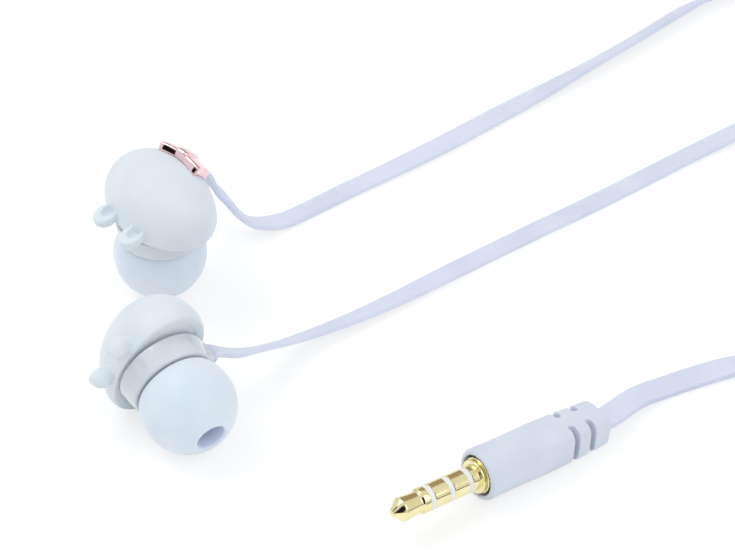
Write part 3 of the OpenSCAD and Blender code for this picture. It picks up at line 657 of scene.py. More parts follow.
class Finishes:
    """Every finish on the earphones, made once."""

    def __init__(self) -> None:
        """Builds the materials."""
        self.shell = MouldedFinish(
            "soft_touch_shell", (217, 226, 233), (223, 231, 236), (0.46, 0.58),
            subsurface=0.2, specular=0.35, sheen=0.3,
        ).material()
        self.gloss = MouldedFinish(
            "gloss_shell", (203, 211, 218), (210, 218, 225), (0.06, 0.13),
            patch=4.0, grain=2.5, grain_depth=0.012, coat=0.6, subsurface=0.1,
        ).material()
        self.silicone = MouldedFinish(
            "silicone", (215, 227, 240), (222, 232, 243), (0.36, 0.5), sheen=0.5,
            grain=0.3, grain_depth=0.003, subsurface=0.35, specular=0.4,
        ).material()
        # The bore's finish is a brighter copy of the silicone: painted light that stands in for
        # light coming through the thin silicone into the shaded bore.
        self.bore = MouldedFinish(
            "silicone_bore_painted_light", (221, 229, 255), (228, 236, 255), (0.4, 0.5), subsurface=0.2,
        ).material()
        self.grip = MouldedFinish(
            "grip_skin", (209, 216, 229), (215, 222, 234), (0.42, 0.55),
            grain=0.15, grain_depth=0.004, subsurface=0.2, specular=0.35,
        ).material()
        self.cord = CordFinish(
            "cord_skin", (212, 218, 235), (219, 225, 241), (0.42, 0.56)
        ).material()
        self.chrome = MetalFinish(
            "rose_chrome", (243, 208, 215), (249, 219, 225), (0.03, 0.08), mark=0.8
        ).material()
        self.gold = MetalFinish(
            "gold_plate", (240, 229, 174), (247, 238, 190), (0.08, 0.16)
        ).material()
        self.ring = MouldedFinish(
            "insulator_ring", (236, 236, 234), (243, 243, 241), (0.3, 0.4), subsurface=0.2
        ).material()
        self.steel = MetalFinish(
            "brushed_steel", (176, 179, 184), (192, 195, 200), (0.25, 0.4)
        ).material()
        self.dark = MetalFinish(
            "dark_iron", (86, 88, 94), (104, 106, 112), (0.4, 0.55)
        ).material()
        self.foam = MouldedFinish(
            "foam_gasket", (52, 52, 56), (70, 70, 74), (0.8, 0.95), grain=0.2, grain_depth=0.05
        ).material()
        self.film = MouldedFinish(
            "driver_film", (224, 220, 200), (233, 229, 210), (0.2, 0.3), specular=0.6
        ).material()
        self.board = MouldedFinish(
            "solder_mask", (26, 84, 58), (34, 98, 68), (0.25, 0.35), patch=1.5, coat=0.4
        ).material()


# ---------------------------------------------------------------- studio


@dataclass(frozen=True)
class Lamp:
    """A soft square lamp: its place and size in millimetres and its power in watts."""

    name: str
    place: Point
    size: float
    power: float


@dataclass(frozen=True)
class Card:
    """A card that only reflections show, for contrast on bright metal."""

    name: str
    place: Point
    size: Pair
    tone: Point = (0.015, 0.012, 0.014)


@dataclass
class Studio:
    """Camera, floor, backdrop light, lamps and cards."""

    aim: Point = (27.4, 18.58, 0.0)
    distance: float = 450.0
    elevation: float = 39.0
    focal: float = 155.0
    sensor: float = 36.0
    clip: Pair = (0.01, 20.0)
    daylight: Point = (0.97, 0.985, 1.0)
    ambient: float = 0.78
    floor_side: float = 6.0
    floor_tone: Point = (0.97, 0.97, 0.97)
    floor_glow: float = 0.62
    floor_white: float = 1.06
    lamps: tuple[Lamp, ...] = (
        Lamp("key_lamp", (-220, 60, 420), 260, 0.57),
        Lamp("fill_lamp", (260, -200, 300), 320, 0.3),
    )
    cards: tuple[Card, ...] = (
        Card("card_near", (1, -115, 48), (50, 96)),
        Card("card_bow", (-185, -85, 155), (75, 70)),
        Card("card_low", (92, -62, 3.5), (60, 7)),
        Card("card_back", (120, 330, 200), (330, 330), (0.42, 0.33, 0.26)),
    )

    def camera(self) -> None:
        """Adds the camera, level, looking along +Y from above."""
        e = math.radians(self.elevation)
        back = Vector((0, -math.cos(e), math.sin(e)))
        data = bpy.data.cameras.new("view")
        data.lens = self.focal
        data.sensor_width = self.sensor
        data.clip_start, data.clip_end = self.clip
        camera = bpy.data.objects.new("view", data)
        camera.location = (Vector(self.aim) + back * self.distance) * MM
        camera.rotation_euler = (math.radians(90 - self.elevation), 0, 0)
        bpy.context.scene.collection.objects.link(camera)
        bpy.context.scene.camera = camera

    @staticmethod
    def _seen(tree: Tree) -> Socket:
        """Tells the rays that show the background from those that light the object.

        Args:
            tree: the node tree.

        Returns:
            1 for camera, glossy and transmission rays, else 0.
        """
        rays = add_node(tree, "ShaderNodeLightPath").outputs
        seen = rays["Is Camera Ray"]
        for kind in ("Glossy", "Transmission"):
            either = {0: seen, 1: rays[f"Is {kind} Ray"]}
            seen = add_node(tree, "ShaderNodeMath", either, operation="MAXIMUM").outputs[0]
        return seen

    @staticmethod
    def _mixed(tree: Tree, out: str, share: Socket, first: Node, second: Node) -> None:
        """Mixes two shaders and joins them to the tree's output.

        Args:
            tree: the node tree.
            out: type of the output node.
            share: how much of the second shader shows.
            first: the first shader.
            second: the second shader.
        """
        shaders = {0: share, 1: first.outputs[0], 2: second.outputs[0]}
        mix = add_node(tree, "ShaderNodeMixShader", shaders)
        add_node(tree, out, {"Surface": mix.outputs[0]})

    def backdrop(self) -> None:
        """White surroundings that light the object a little less than they show."""
        world = bpy.data.worlds.new("backdrop")
        world.use_nodes = True
        tree = world.node_tree
        tree.nodes.clear()
        dim = {"Color": (*self.daylight, 1.0), "Strength": self.ambient}
        light = add_node(tree, "ShaderNodeBackground", dim)
        white = add_node(tree, "ShaderNodeBackground", {"Strength": 1.0})
        self._mixed(tree, "ShaderNodeOutputWorld", self._seen(tree), light, white)
        bpy.context.scene.world = world

    def floor(self) -> None:
        """Pale floor that keeps a soft shadow."""
        bpy.ops.mesh.primitive_plane_add(size=self.floor_side, location=(0, 0, 0))
        floor = bpy.context.object
        floor.name = "floor"
        material = bpy.data.materials.new("pale_floor")
        material.use_nodes = True
        tree = material.node_tree
        tree.nodes.clear()
        matte = add_node(tree, "ShaderNodeBsdfDiffuse", {"Color": (*self.floor_tone, 1.0)})
        glow = add_node(tree, "ShaderNodeEmission", {"Strength": self.floor_white})
        shares = {0: self._seen(tree), 1: self.floor_glow}
        share = add_node(tree, "ShaderNodeMath", shares, operation="MULTIPLY").outputs[0]
        self._mixed(tree, "ShaderNodeOutputMaterial", share, matte, glow)
        floor.data.materials.append(material)

    def _aimed(self, obj: Piece, place: Point) -> None:
        """Puts an object at a place, its -Z towards the middle of the view.

        Args:
            obj: the object.
            place: its place in millimetres.
        """
        obj.location = Vector(place) * MM
        way = Vector(self.aim) - Vector(place)
        obj.rotation_euler = way.to_track_quat("-Z", "Y").to_euler()

    def hang(self, lamp: Lamp) -> None:
        """Adds a lamp.

        Args:
            lamp: the lamp.
        """
        data = bpy.data.lights.new(lamp.name, "AREA")
        data.size = lamp.size * MM
        data.energy = lamp.power
        obj = bpy.data.objects.new(lamp.name, data)
        self._aimed(obj, lamp.place)
        bpy.context.scene.collection.objects.link(obj)

    def stand(self, card: Card) -> None:
        """Adds a card.

        Args:
            card: the card.
        """
        bpy.ops.mesh.primitive_plane_add(size=1)
        obj = bpy.context.object
        obj.name = card.name
        obj.scale = (card.size[0] * MM, card.size[1] * MM, 1)
        self._aimed(obj, card.place)
        obj.data.materials.append(Nodes(card.name).dressed({
            "Base Color": (*card.tone, 1.0), "Roughness": 1.0, "Specular IOR Level": 0.0,
        }))
        for ray in ("camera", "diffuse", "shadow", "transmission", "volume_scatter"):
            setattr(obj, f"visible_{ray}", False)

    def build(self) -> None:
        """Sets up everything round the object."""
        bpy.context.scene.view_settings.view_transform = "Standard"
        self.camera()
        self.backdrop()
        self.floor()
        for lamp in self.lamps:
            self.hang(lamp)
        for card in self.cards:
            self.stand(card)
        LOG.info("studio has %d lamps and %d cards", len(self.lamps), len(self.cards))


# ---------------------------------------------------------------- cords


@dataclass(frozen=True)
class Rib:
    """One station of a flat cord: a point and the roll of its width, 0 flat and 90 on edge."""

    at: Vector
    roll: float


def ribs(points: Sequence[Station]) -> list[Rib]:
    """Stations from rows of x, y, z and roll."""
    return [Rib(Vector(p[:3]), p[3]) for p in points]


@dataclass
class Coil:
    """A flat cord wound on edge in two layers: it spirals in, climbs a layer and spirals out."""

    at: Pair
    radius: float
    pitch: float
    start: float
    sweep: float
    way: Winding
    from_top: bool
    per_turn: int = 48
    layer_gap: float = 0.8
    climb: float = 180.0

    def stations(self, width: float) -> list[Rib]:
        """The winding with one straight cord width at each end.

        Args:
            width: the cord's width.

        Returns:
            The stations in order.
        """
        steps = math.ceil(self.sweep * self.per_turn / 360)
        turns = [self._station(self.sweep * i / steps, width) for i in range(steps + 1)]
        head = (turns[0].at - turns[1].at).normalized() * width
        tail = (turns[-1].at - turns[-2].at).normalized() * width
        return [Rib(turns[0].at + head, 90), *turns, Rib(turns[-1].at + tail, 90)]

    def _station(self, swept: float, width: float) -> Rib:
        """One station of the winding.

        Args:
            swept: angle from the winding's start, in degrees.
            width: the cord's width.

        Returns:
            The station, on edge.
        """
        radius = self.radius - self.pitch * min(swept, self.sweep - swept) / 360
        angle = math.radians(self.start + self.way.value * swept)
        risen = ease((swept - (self.sweep - self.climb) / 2) / self.climb)
        low, high = width / 2, 1.5 * width + self.layer_gap
        first, last = (high, low) if self.from_top else (low, high)
        x, y = self.at[0] + radius * math.cos(angle), self.at[1] + radius * math.sin(angle)
        return Rib(Vector((x, y, first + (last - first) * risen)), 90)


@dataclass
class FlatCord:
    """A flat cord that follows runs of stations, with its width across and rounded edges."""

    width: float
    thickness: float
    corner: float
    groove: float = 0.0
    crisp_angle: float = 50.0

    def section(self) -> list[Pair]:
        """Lays out the cord's outline, with its side groove where it has one.

        Returns:
            Points round the cord: across its width, across its thickness.
        """
        a, b, r = self.width / 2 - self.corner, self.thickness / 2 - self.corner, self.corner
        quarter = arc((a, b), r, 0, 90, steps=4)
        if self.groove:
            quarter = [(a + r, b * 0.2), (a + r - self.groove, b * 0.5), (a + r, b * 0.8), *quarter]
        left = [(-x, y) for x, y in reversed(quarter)]
        upper = quarter + [(a * k, b + r) for k in (0.6, 0.2, -0.2, -0.6)] + left
        return upper + [(-x, -y) for x, y in upper]

    @staticmethod
    def smoothed(stations: Sequence[Rib], steps: int) -> list[Rib]:
        """Catmull-Rom curve through the stations.

        Args:
            stations: the stations.
            steps: number of steps in each span.

        Returns:
            The finer stations, ends included.
        """
        out = []
        last = len(stations) - 1
        for i in range(last):
            a, b = stations[max(i - 1, 0)], stations[i]
            c, d = stations[i + 1], stations[min(i + 2, last)]
            for j in range(steps):
                at = between(a.at, b.at, c.at, d.at, j / steps)
                out.append(Rib(at, between(a.roll, b.roll, c.roll, d.roll, j / steps)))
        return [*out, stations[last]]

    @staticmethod
    def _ring(section: Sequence[Pair], rib: Rib, way: Vector) -> list[Vector]:
        """The section's points round a station, in metres.

        Args:
            section: the cord's section.
            rib: the station.
            way: direction of the cord there.

        Returns:
            The points.
        """
        side = Vector((0, 0, 1)).cross(way).normalized()
        roll = math.radians(rib.roll)
        across = side * math.cos(roll) + way.cross(side) * math.sin(roll)
        through = way.cross(across)
        return [(rib.at + across * u + through * v) * MM for u, v in section]

    def build(self, name: str, stations: Sequence[Rib], ends: tuple[Vector, Vector]) -> Piece:
        """Sweeps the section along the stations.

        Args:
            name: the piece's name.
            stations: the whole cord's stations, in millimetres.
            ends: ways in which the cord runs at its two ends.

        Returns:
            The closed mesh, in metres, with a UV map along the cord and round it.
        """
        section = self.section()
        size, last = len(section), len(stations) - 1
        ways = [(stations[i + 1].at - stations[i - 1].at).normalized() for i in range(1, last)]
        points: list[Vector] = []
        for rib, way in zip(stations, (ends[0], *ways, ends[1])):
            points += self._ring(section, rib, way)
        faces = [
            (k + j, k + (j + 1) % size, k + size + (j + 1) % size, k + size + j)
            for k in range(0, last * size, size)
            for j in range(size)
        ]
        faces.append(tuple(range(size))[::-1])
        faces.append(tuple(range(last * size, (last + 1) * size)))
        mesh = bpy.data.meshes.new(name)
        mesh.from_pydata(points, [], faces)
        obj = bpy.data.objects.new(name, mesh)
        bpy.context.scene.collection.objects.link(obj)
        self._lay_out(mesh, stations, size)
        with editing(obj):
            face_outwards()
        activate(obj)
        bpy.ops.object.shade_smooth_by_angle(angle=math.radians(self.crisp_angle))
        return obj

    def _lay_out(self, mesh: bpy.types.Mesh, stations: Sequence[Rib], size: int) -> None:
        """Writes the UV map, in metres: along the cord and round it.

        Args:
            mesh: the cord's mesh.
            stations: its stations, one to a ring of points.
            size: number of points in a ring.
        """
        lengths = [0.0]
        for before, here in zip(stations, stations[1:]):
            lengths.append(lengths[-1] + (here.at - before.at).length)
        layer = mesh.uv_layers.new(name="cord")
        girth = 2 * (self.width + self.thickness) / size
        for face in mesh.polygons:
            spots = {k: divmod(mesh.loops[k].vertex_index, size) for k in face.loop_indices}
            closing = {0, size - 1} <= {place for _, place in spots.values()}
            for k, (ring, place) in spots.items():
                around = size if closing and place == 0 else place
                layer.data[k].uv = (lengths[ring] * MM, around * girth * MM)


# ---------------------------------------------------------------- sub-assemblies


@dataclass
class Earbud:
    """One earbud: the origin is on the rear housing's rim, +Z is its face, +X its chin."""

    side: Side
    at: Point
    lean: float
    heading: float
    turned: float
    exit_straight: float
    exit_twist: float
    head: Point = (6.65, 9.2, 7.6)
    head_under: float = 4.5
    head_z: float = 1.8
    wall: float = 1.1
    seam_z: float = 0.5
    skin_voxel: float = 0.12
    skin_rounds: int = 7
    ear_r: float = 1.5
    ear_length: float = 1.9
    ear_at: Point = (-7.4, 2.8, 2.0)
    ear_rim: float = 0.8
    ear_lip: float = 0.35
    ear_lean: float = 10.0
    dish: Point = (1.35, 0.8, 1.0)
    dish_shift: float = 0.75
    dish_rise: float = 0.12
    cover_sink: float = 0.02
    cover_thick: float = 1.02
    cover_bore: float = 3.54
    spigot_bore: float = 4.7
    spigot_end: float = -0.7
    spigot_edges: Pair = (0.1, 0.15)
    bow_tilt: float = 39.5
    bow_y: float = 0.25
    bow_turn: float = 7.3
    bow_bend: float = 7.1
    bow_width: float = 7.05
    bow_length: float = 3.8
    bow_height: float = 1.3
    bow_cuts: int = 4
    wing_neck: Pair = (0.78, 0.8)
    wing_draft: Pair = (0.84, 0.94)
    wing_edge: float = 0.2
    knot_length: float = 0.86
    knot_width: float = 1.8
    knot_rise: float = 0.3
    knot_edge: float = 0.45
    housing_r: float = 6.4
    housing_taper: float = 0.45
    housing_h: float = 3.35
    housing_wall: float = 0.9
    housing_edge: float = 0.3
    nozzle_r: float = 2.4
    nozzle_bore: float = 1.7
    nozzle_h: float = 5.1
    nozzle_fillet: float = 0.3
    nozzle_flare: float = 0.05
    barb_r: float = 2.7
    barb_steps: Point = (1.12, 0.8, 0.32)
    collar_width: float = 1.65
    collar_low: float = -2.95
    collar_corner: float = 0.4
    collar_edge: float = 0.18
    collar_end: float = 6.7
    exit_angle: float = 28.0
    tip_r: float = 6.55
    tip_z: float = -7.2
    tip_wall: float = 0.7
    tip_gap: float = 0.3
    tip_lip: float = 0.4
    tip_rim: Point = (0.12, 0.1, 0.05)
    mouth_r: float = 2.05
    mouth_flare: Pair = (0.2, 0.3)
    core: Pair = (2.78, 3.58)
    core_gap: float = 0.2
    core_sink: float = 0.1
    seat_gap: float = 0.04

    @property
    def spin(self) -> Matrix:
        """How the earbud is turned."""
        return turn("Z", self.heading) @ turn("Y", self.lean) @ turn("Z", self.turned)

    @property
    def place(self) -> Matrix:
        """From the earbud's frame to the row frame, in millimetres."""
        return Matrix.Translation(self.at) @ self.spin

    def name(self, piece: str) -> str:
        """A piece's name with this side's prefix."""
        return f"{self.side.label}_{piece}"

    # -- head

    def _oval(self, inset: float, segments: int) -> Piece:
        """The head's oval, flatter behind its widest part.

        Args:
            inset: how much smaller it is all round.
            segments: its segments round Z.

        Returns:
            The oval.
        """
        a, b, front = (r - inset for r in self.head)
        oval = ellipsoid((a, b, front), (0, 0, self.head_z), segments)
        flatter = (self.head_under - inset) / front
        with editing(oval):
            pick_faces(oval, lambda c, n: c.z < self.head_z)
            bpy.ops.transform.resize(value=(1, 1, flatter), center_override=(0, 0, self.head_z))
        return oval

    def _ear(self, sense: int) -> Piece:
        """A small cup, open towards the face and the head, with a round back and a soft rim.

        Args:
            sense: 1 for the ear at +Y, -1 for the other.

        Returns:
            The ear, in its place.
        """
        r, rim, lip = self.ear_r, self.ear_rim, self.ear_lip
        edge, back = arc((r - lip, rim - lip), lip, 90, 0, 5), arc((0, 0), r, 0, -90, 14)
        cup = lathe([(0, rim), *edge, *back], steps=48)
        with editing(cup):
            pick_all()
            bpy.ops.transform.resize(value=(self.ear_length / r, 1, 1), center_override=(0, 0, 0))
        at = (self.dish_shift, 0, rim + self.dish_rise)
        hollow = ellipsoid(self.dish, at, segments=40)
        combine(cup, hollow, "DIFFERENCE")
        x, y, z = self.ear_at
        cup.matrix_world = Matrix.Translation((x, sense * y, z)) @ turn("Y", -self.ear_lean)
        return cup

    def head_shell(self) -> Piece:
        """The head's oval with both ears, in one moulding, open at the seam.

        Returns:
            The shell.
        """
        head = self._oval(0, segments=128)
        for sense in (-1, 1):
            combine(head, self._ear(sense), "UNION")
        reach = 4 * self.head[1]
        below = block((reach, reach, reach), (0, 0, self.seam_z - reach / 2))
        combine(head, below, "DIFFERENCE")
        soften(head, self.skin_voxel, self.skin_rounds)
        combine(head, self._oval(self.wall, segments=96), "DIFFERENCE")
        return head

    def cover(self) -> Piece:
        """The cover that snaps into the head's mouth and plugs into the housing.

        Returns:
            The cover.
        """
        cover = self._oval(self.wall + self.seat_gap, segments=96)
        reach, thick = 4 * self.head[1], self.cover_thick
        middle = self.seam_z - self.cover_sink + thick / 2
        combine(cover, block((reach, reach, thick), (0, 0, middle)), "INTERSECT")
        outer, inner = self.housing_r - self.housing_wall - self.seat_gap, self.spigot_bore
        top, end, (upper, lower) = self.seam_z - self.seat_gap, self.spigot_end, self.spigot_edges
        spigot = lathe([
            (inner, top), *arc((outer - upper, top - upper), upper, 90, 0, 3),
            *arc((outer - lower, end + lower), lower, 0, -90, 3), (inner, end), (inner, top),
        ])
        combine(cover, spigot, "UNION")
        combine(cover, rod(self.cover_bore, (0, 0, -1), 4), "DIFFERENCE")
        return cover

    # -- bow

    def _on_head(self, obj: Piece) -> None:
        """Wraps a flat piece round the head with its lengths kept; its height stands on the oval.

        Args:
            obj: the piece, modelled on the XY plane round the origin.
        """
        a, b, c = self.head
        spin = turn("Z", self.bow_turn)
        for vertex in obj.data.vertices:
            x, y, height = spin @ vertex.co
            around = math.radians(self.bow_tilt) + x / self.bow_bend
            across = (self.bow_y + y) / b
            front = c if around < math.pi / 2 else self.head_under
            foot = Vector((
                a * math.sin(around) * math.cos(across), b * math.sin(across),
                front * math.cos(around) * math.cos(across),
            ))
            out = Vector((foot.x / a**2, foot.y / b**2, foot.z / front**2)).normalized()
            vertex.co = foot + out * (height - self.seat_gap) + Vector((0, 0, self.head_z))

    def _rounded(self, obj: Piece, edge: float, segments: int) -> Piece:
        """Rounds all edges of a block and cuts it finely enough to wrap.

        Args:
            obj: the block.
            edge: size of its rounded edges.
            segments: faces across an edge.

        Returns:
            The block.
        """
        with editing(obj):
            pick_all()
            bevel(edge, segments)
            pick_all()
            bpy.ops.mesh.subdivide(number_cuts=self.bow_cuts)
        return obj

    def _wing(self, sense: int) -> Piece:
        """One wing, wide and thick at its tip, drawn in at the knot and tapered upwards.

        Args:
            sense: 1 for the wing at +Y, -1 for the other.

        Returns:
            The wing, flat.
        """
        length, reach, height = self.bow_length, self.bow_width / 2, self.bow_height
        wing = block((length, reach, height), (0, sense * reach / 2, height / 2))
        with editing(wing):
            pick_faces(wing, lambda c, n: sense * n.y < -0.9)
            bpy.ops.transform.resize(value=(self.wing_neck[0], 1, self.wing_neck[1]))
            pick_faces(wing, lambda c, n: n.z > 0.7)
            bpy.ops.transform.resize(value=(*self.wing_draft, 1))
        return self._rounded(wing, self.wing_edge, segments=4)

    def bow(self) -> Piece:
        """Two wings and the knot that holds them.

        Returns:
            The bow, wrapped on the head.
        """
        length, height = self.knot_length * self.bow_length, self.bow_height + self.knot_rise
        knot = block((length, self.knot_width, height), (0, 0, height / 2))
        knot = self._rounded(knot, self.knot_edge, segments=6)
        bow = join([knot, self._wing(1), self._wing(-1)])
        self._on_head(bow)
        return bow

    # -- rear housing

    def housing(self) -> Piece:
        """The glossy tapered drum with its nozzle and barb, slotted for the cord.

        Returns:
            The housing.
        """
        r, h, cavity = self.housing_r, self.housing_h, self.housing_r - self.housing_wall
        end, n, b = -h - self.nozzle_h, self.nozzle_r, self.barb_r
        edge, fillet, (foot, back, front) = self.housing_edge, self.nozzle_fillet, self.barb_steps
        skew = math.degrees(math.atan(self.housing_taper / (h - 2 * edge)))
        profile = [
            (cavity, 0.0), *arc((r - edge, -edge), edge, 90, -skew, 8),
            *arc((r - self.housing_taper - edge, edge - h), edge, -skew, -90, 8),
            *arc((n + fillet, -h - fillet), fillet, 90, 180, 4),
            (n, end + foot), (b, end + back), (b, end + front), (n + self.nozzle_flare, end),
            (self.nozzle_bore, end), (self.nozzle_bore, -h + self.housing_wall),
            (cavity, -h + self.housing_wall), (cavity, 0.0),
        ]
        drum = lathe(profile, steps=160)
        combine(drum, self._slot_block(cavity - 1, r + 1, self.seat_gap, 1.0), "DIFFERENCE")
        return drum

    def _slot_block(self, start: float, end: float, gap: float, top: float) -> Piece:
        """A block with the cord slot's outline, turned to where the cord leaves.

        Args:
            start: radius where it begins.
            end: radius where it ends.
            gap: how much larger it is all round.
            top: height of its top.

        Returns:
            The block.
        """
        width, low = self.collar_width + 2 * gap, self.collar_low - gap
        body = block((end - start, width, top - low), ((start + end) / 2, 0, (top + low) / 2))
        with editing(body, "EDGE"):
            pick_edges(body, lambda a, b: abs(a.x - b.x) > 0.1 and max(a.z, b.z) < low + 0.01)
            bevel(self.collar_corner, segments=6)
        body.matrix_world = turn("Z", self.side.value * self.exit_angle)
        return body

    def collar_sleeve(self) -> Piece:
        """The insert that fills the slot and holds the flat cord, with a softly edged lip.

        Returns:
            The sleeve, in its place.
        """
        start = self.housing_r - self.housing_wall + self.seat_gap
        sleeve = self._slot_block(start, self.collar_end, 0, 0)
        with editing(sleeve, "EDGE"):
            pick_edges(sleeve, lambda a, b: min(a.x, b.x) > self.collar_end - 0.01)
            bevel(self.collar_edge, segments=4)
        return sleeve

    # -- ear tip

    def tip(self, skin: Material, bore: Material) -> Piece:
        """The silicone ear tip: ball, rolled lip, bore, core and the hollow between.

        Args:
            skin: finish of all but the bore.
            bore: finish of the bore, a brighter copy of the silicone with painted light.

        Returns:
            The ear tip with both finishes.
        """
        z, r, inner = self.tip_z, self.tip_r, self.tip_r - self.tip_wall
        skirt, lip = -self.housing_h - self.tip_gap, self.tip_lip
        seat = -self.housing_h - self.nozzle_h - self.core_gap
        neck = self.mouth_r + lip
        lip_angle = -math.degrees(math.acos(neck / (r - lip)))
        lip_z = z - math.sqrt((r - lip) ** 2 - neck**2)
        (rim_outer, rim_inner, rim_drop), (flare, flare_drop) = self.tip_rim, self.mouth_flare
        outer_angle = math.degrees(math.asin((skirt - rim_outer - z) / r))
        outside = arc((0, z), r, outer_angle, lip_angle, 60)
        core_angle = -math.degrees(math.acos(self.core[1] / inner))
        back_angle = math.degrees(math.asin((skirt - rim_drop - z) / inner))
        inside = arc((0, z), inner, core_angle, back_angle, 30)
        profile = [
            *outside, *arc((neck, lip_z), lip, lip_angle, -180, 8)[1:],
            (self.mouth_r, seat - flare_drop), (self.mouth_r + flare, seat),
            (self.core[0], seat), (self.core[0], skirt - self.core_sink),
            (self.core[1], skirt - self.core_sink), *inside,
            (inside[-1][0] + rim_inner, skirt), (outside[0][0] - rim_outer, skirt), outside[0],
        ]
        tip = lathe(profile, steps=128)
        for material in (skin, bore):
            tip.data.materials.append(material)
        for face in tip.data.polygons:
            within = math.hypot(face.center.x, face.center.y) < self.mouth_r + self.seat_gap
            face.material_index = int(within and face.center.z < seat + self.core_gap / 2)
        return tip

    def build(self, finishes: Finishes) -> None:
        """Models, dresses and seats every piece of the earbud.

        Args:
            finishes: the earphones' finishes.
        """
        shell, chrome, gloss = finishes.shell, finishes.chrome, finishes.gloss
        shown = (
            ("head_shell", self.head_shell(), shell, "matte_shell", "head_cap", 50),
            ("cover_disc", self.cover(), shell, "matte_shell", "back_cover", 40),
            ("bow_knot", self.bow(), chrome, "rose_chrome", "bow", 35),
            ("housing_cup", self.housing(), gloss, "gloss_shell", "rear_housing", 40),
            ("cord_sleeve", self.collar_sleeve(), shell, "matte_shell", "cord_collar", 40),
        )
        for piece, obj, material, slot, node, angle in shown:
            fit_piece(
                obj, self.name(piece), self.place, material, slot, self.name(node),
                smooth_angle=angle,
            )
        tip = self.tip(finishes.silicone, finishes.bore)
        lay_down(tip, self.name("tip_dome"), self.place, 40)
        seat_piece(tip, self.name("tip"), "silicone", self.name("ear_tip"))
        winding = WoundFinish(
            self.name("copper_wire"), low=(150, 84, 52), high=(214, 140, 96), wire=0.08,
            axis=tuple(self.spin @ Vector((0, 0, 1))),
        ).material()
        inner = {
            "nozzle_mesh": finishes.steel, "driver_gasket": finishes.foam,
            "diaphragm": finishes.film, "voice_coil": winding, "driver_frame": finishes.dark,
            "top_plate": finishes.steel, "magnet": finishes.dark, "magnet_cup": finishes.steel,
            "terminal_board": finishes.board,
        }
        dress_nodes({self.name(node): material for node, material in inner.items()})


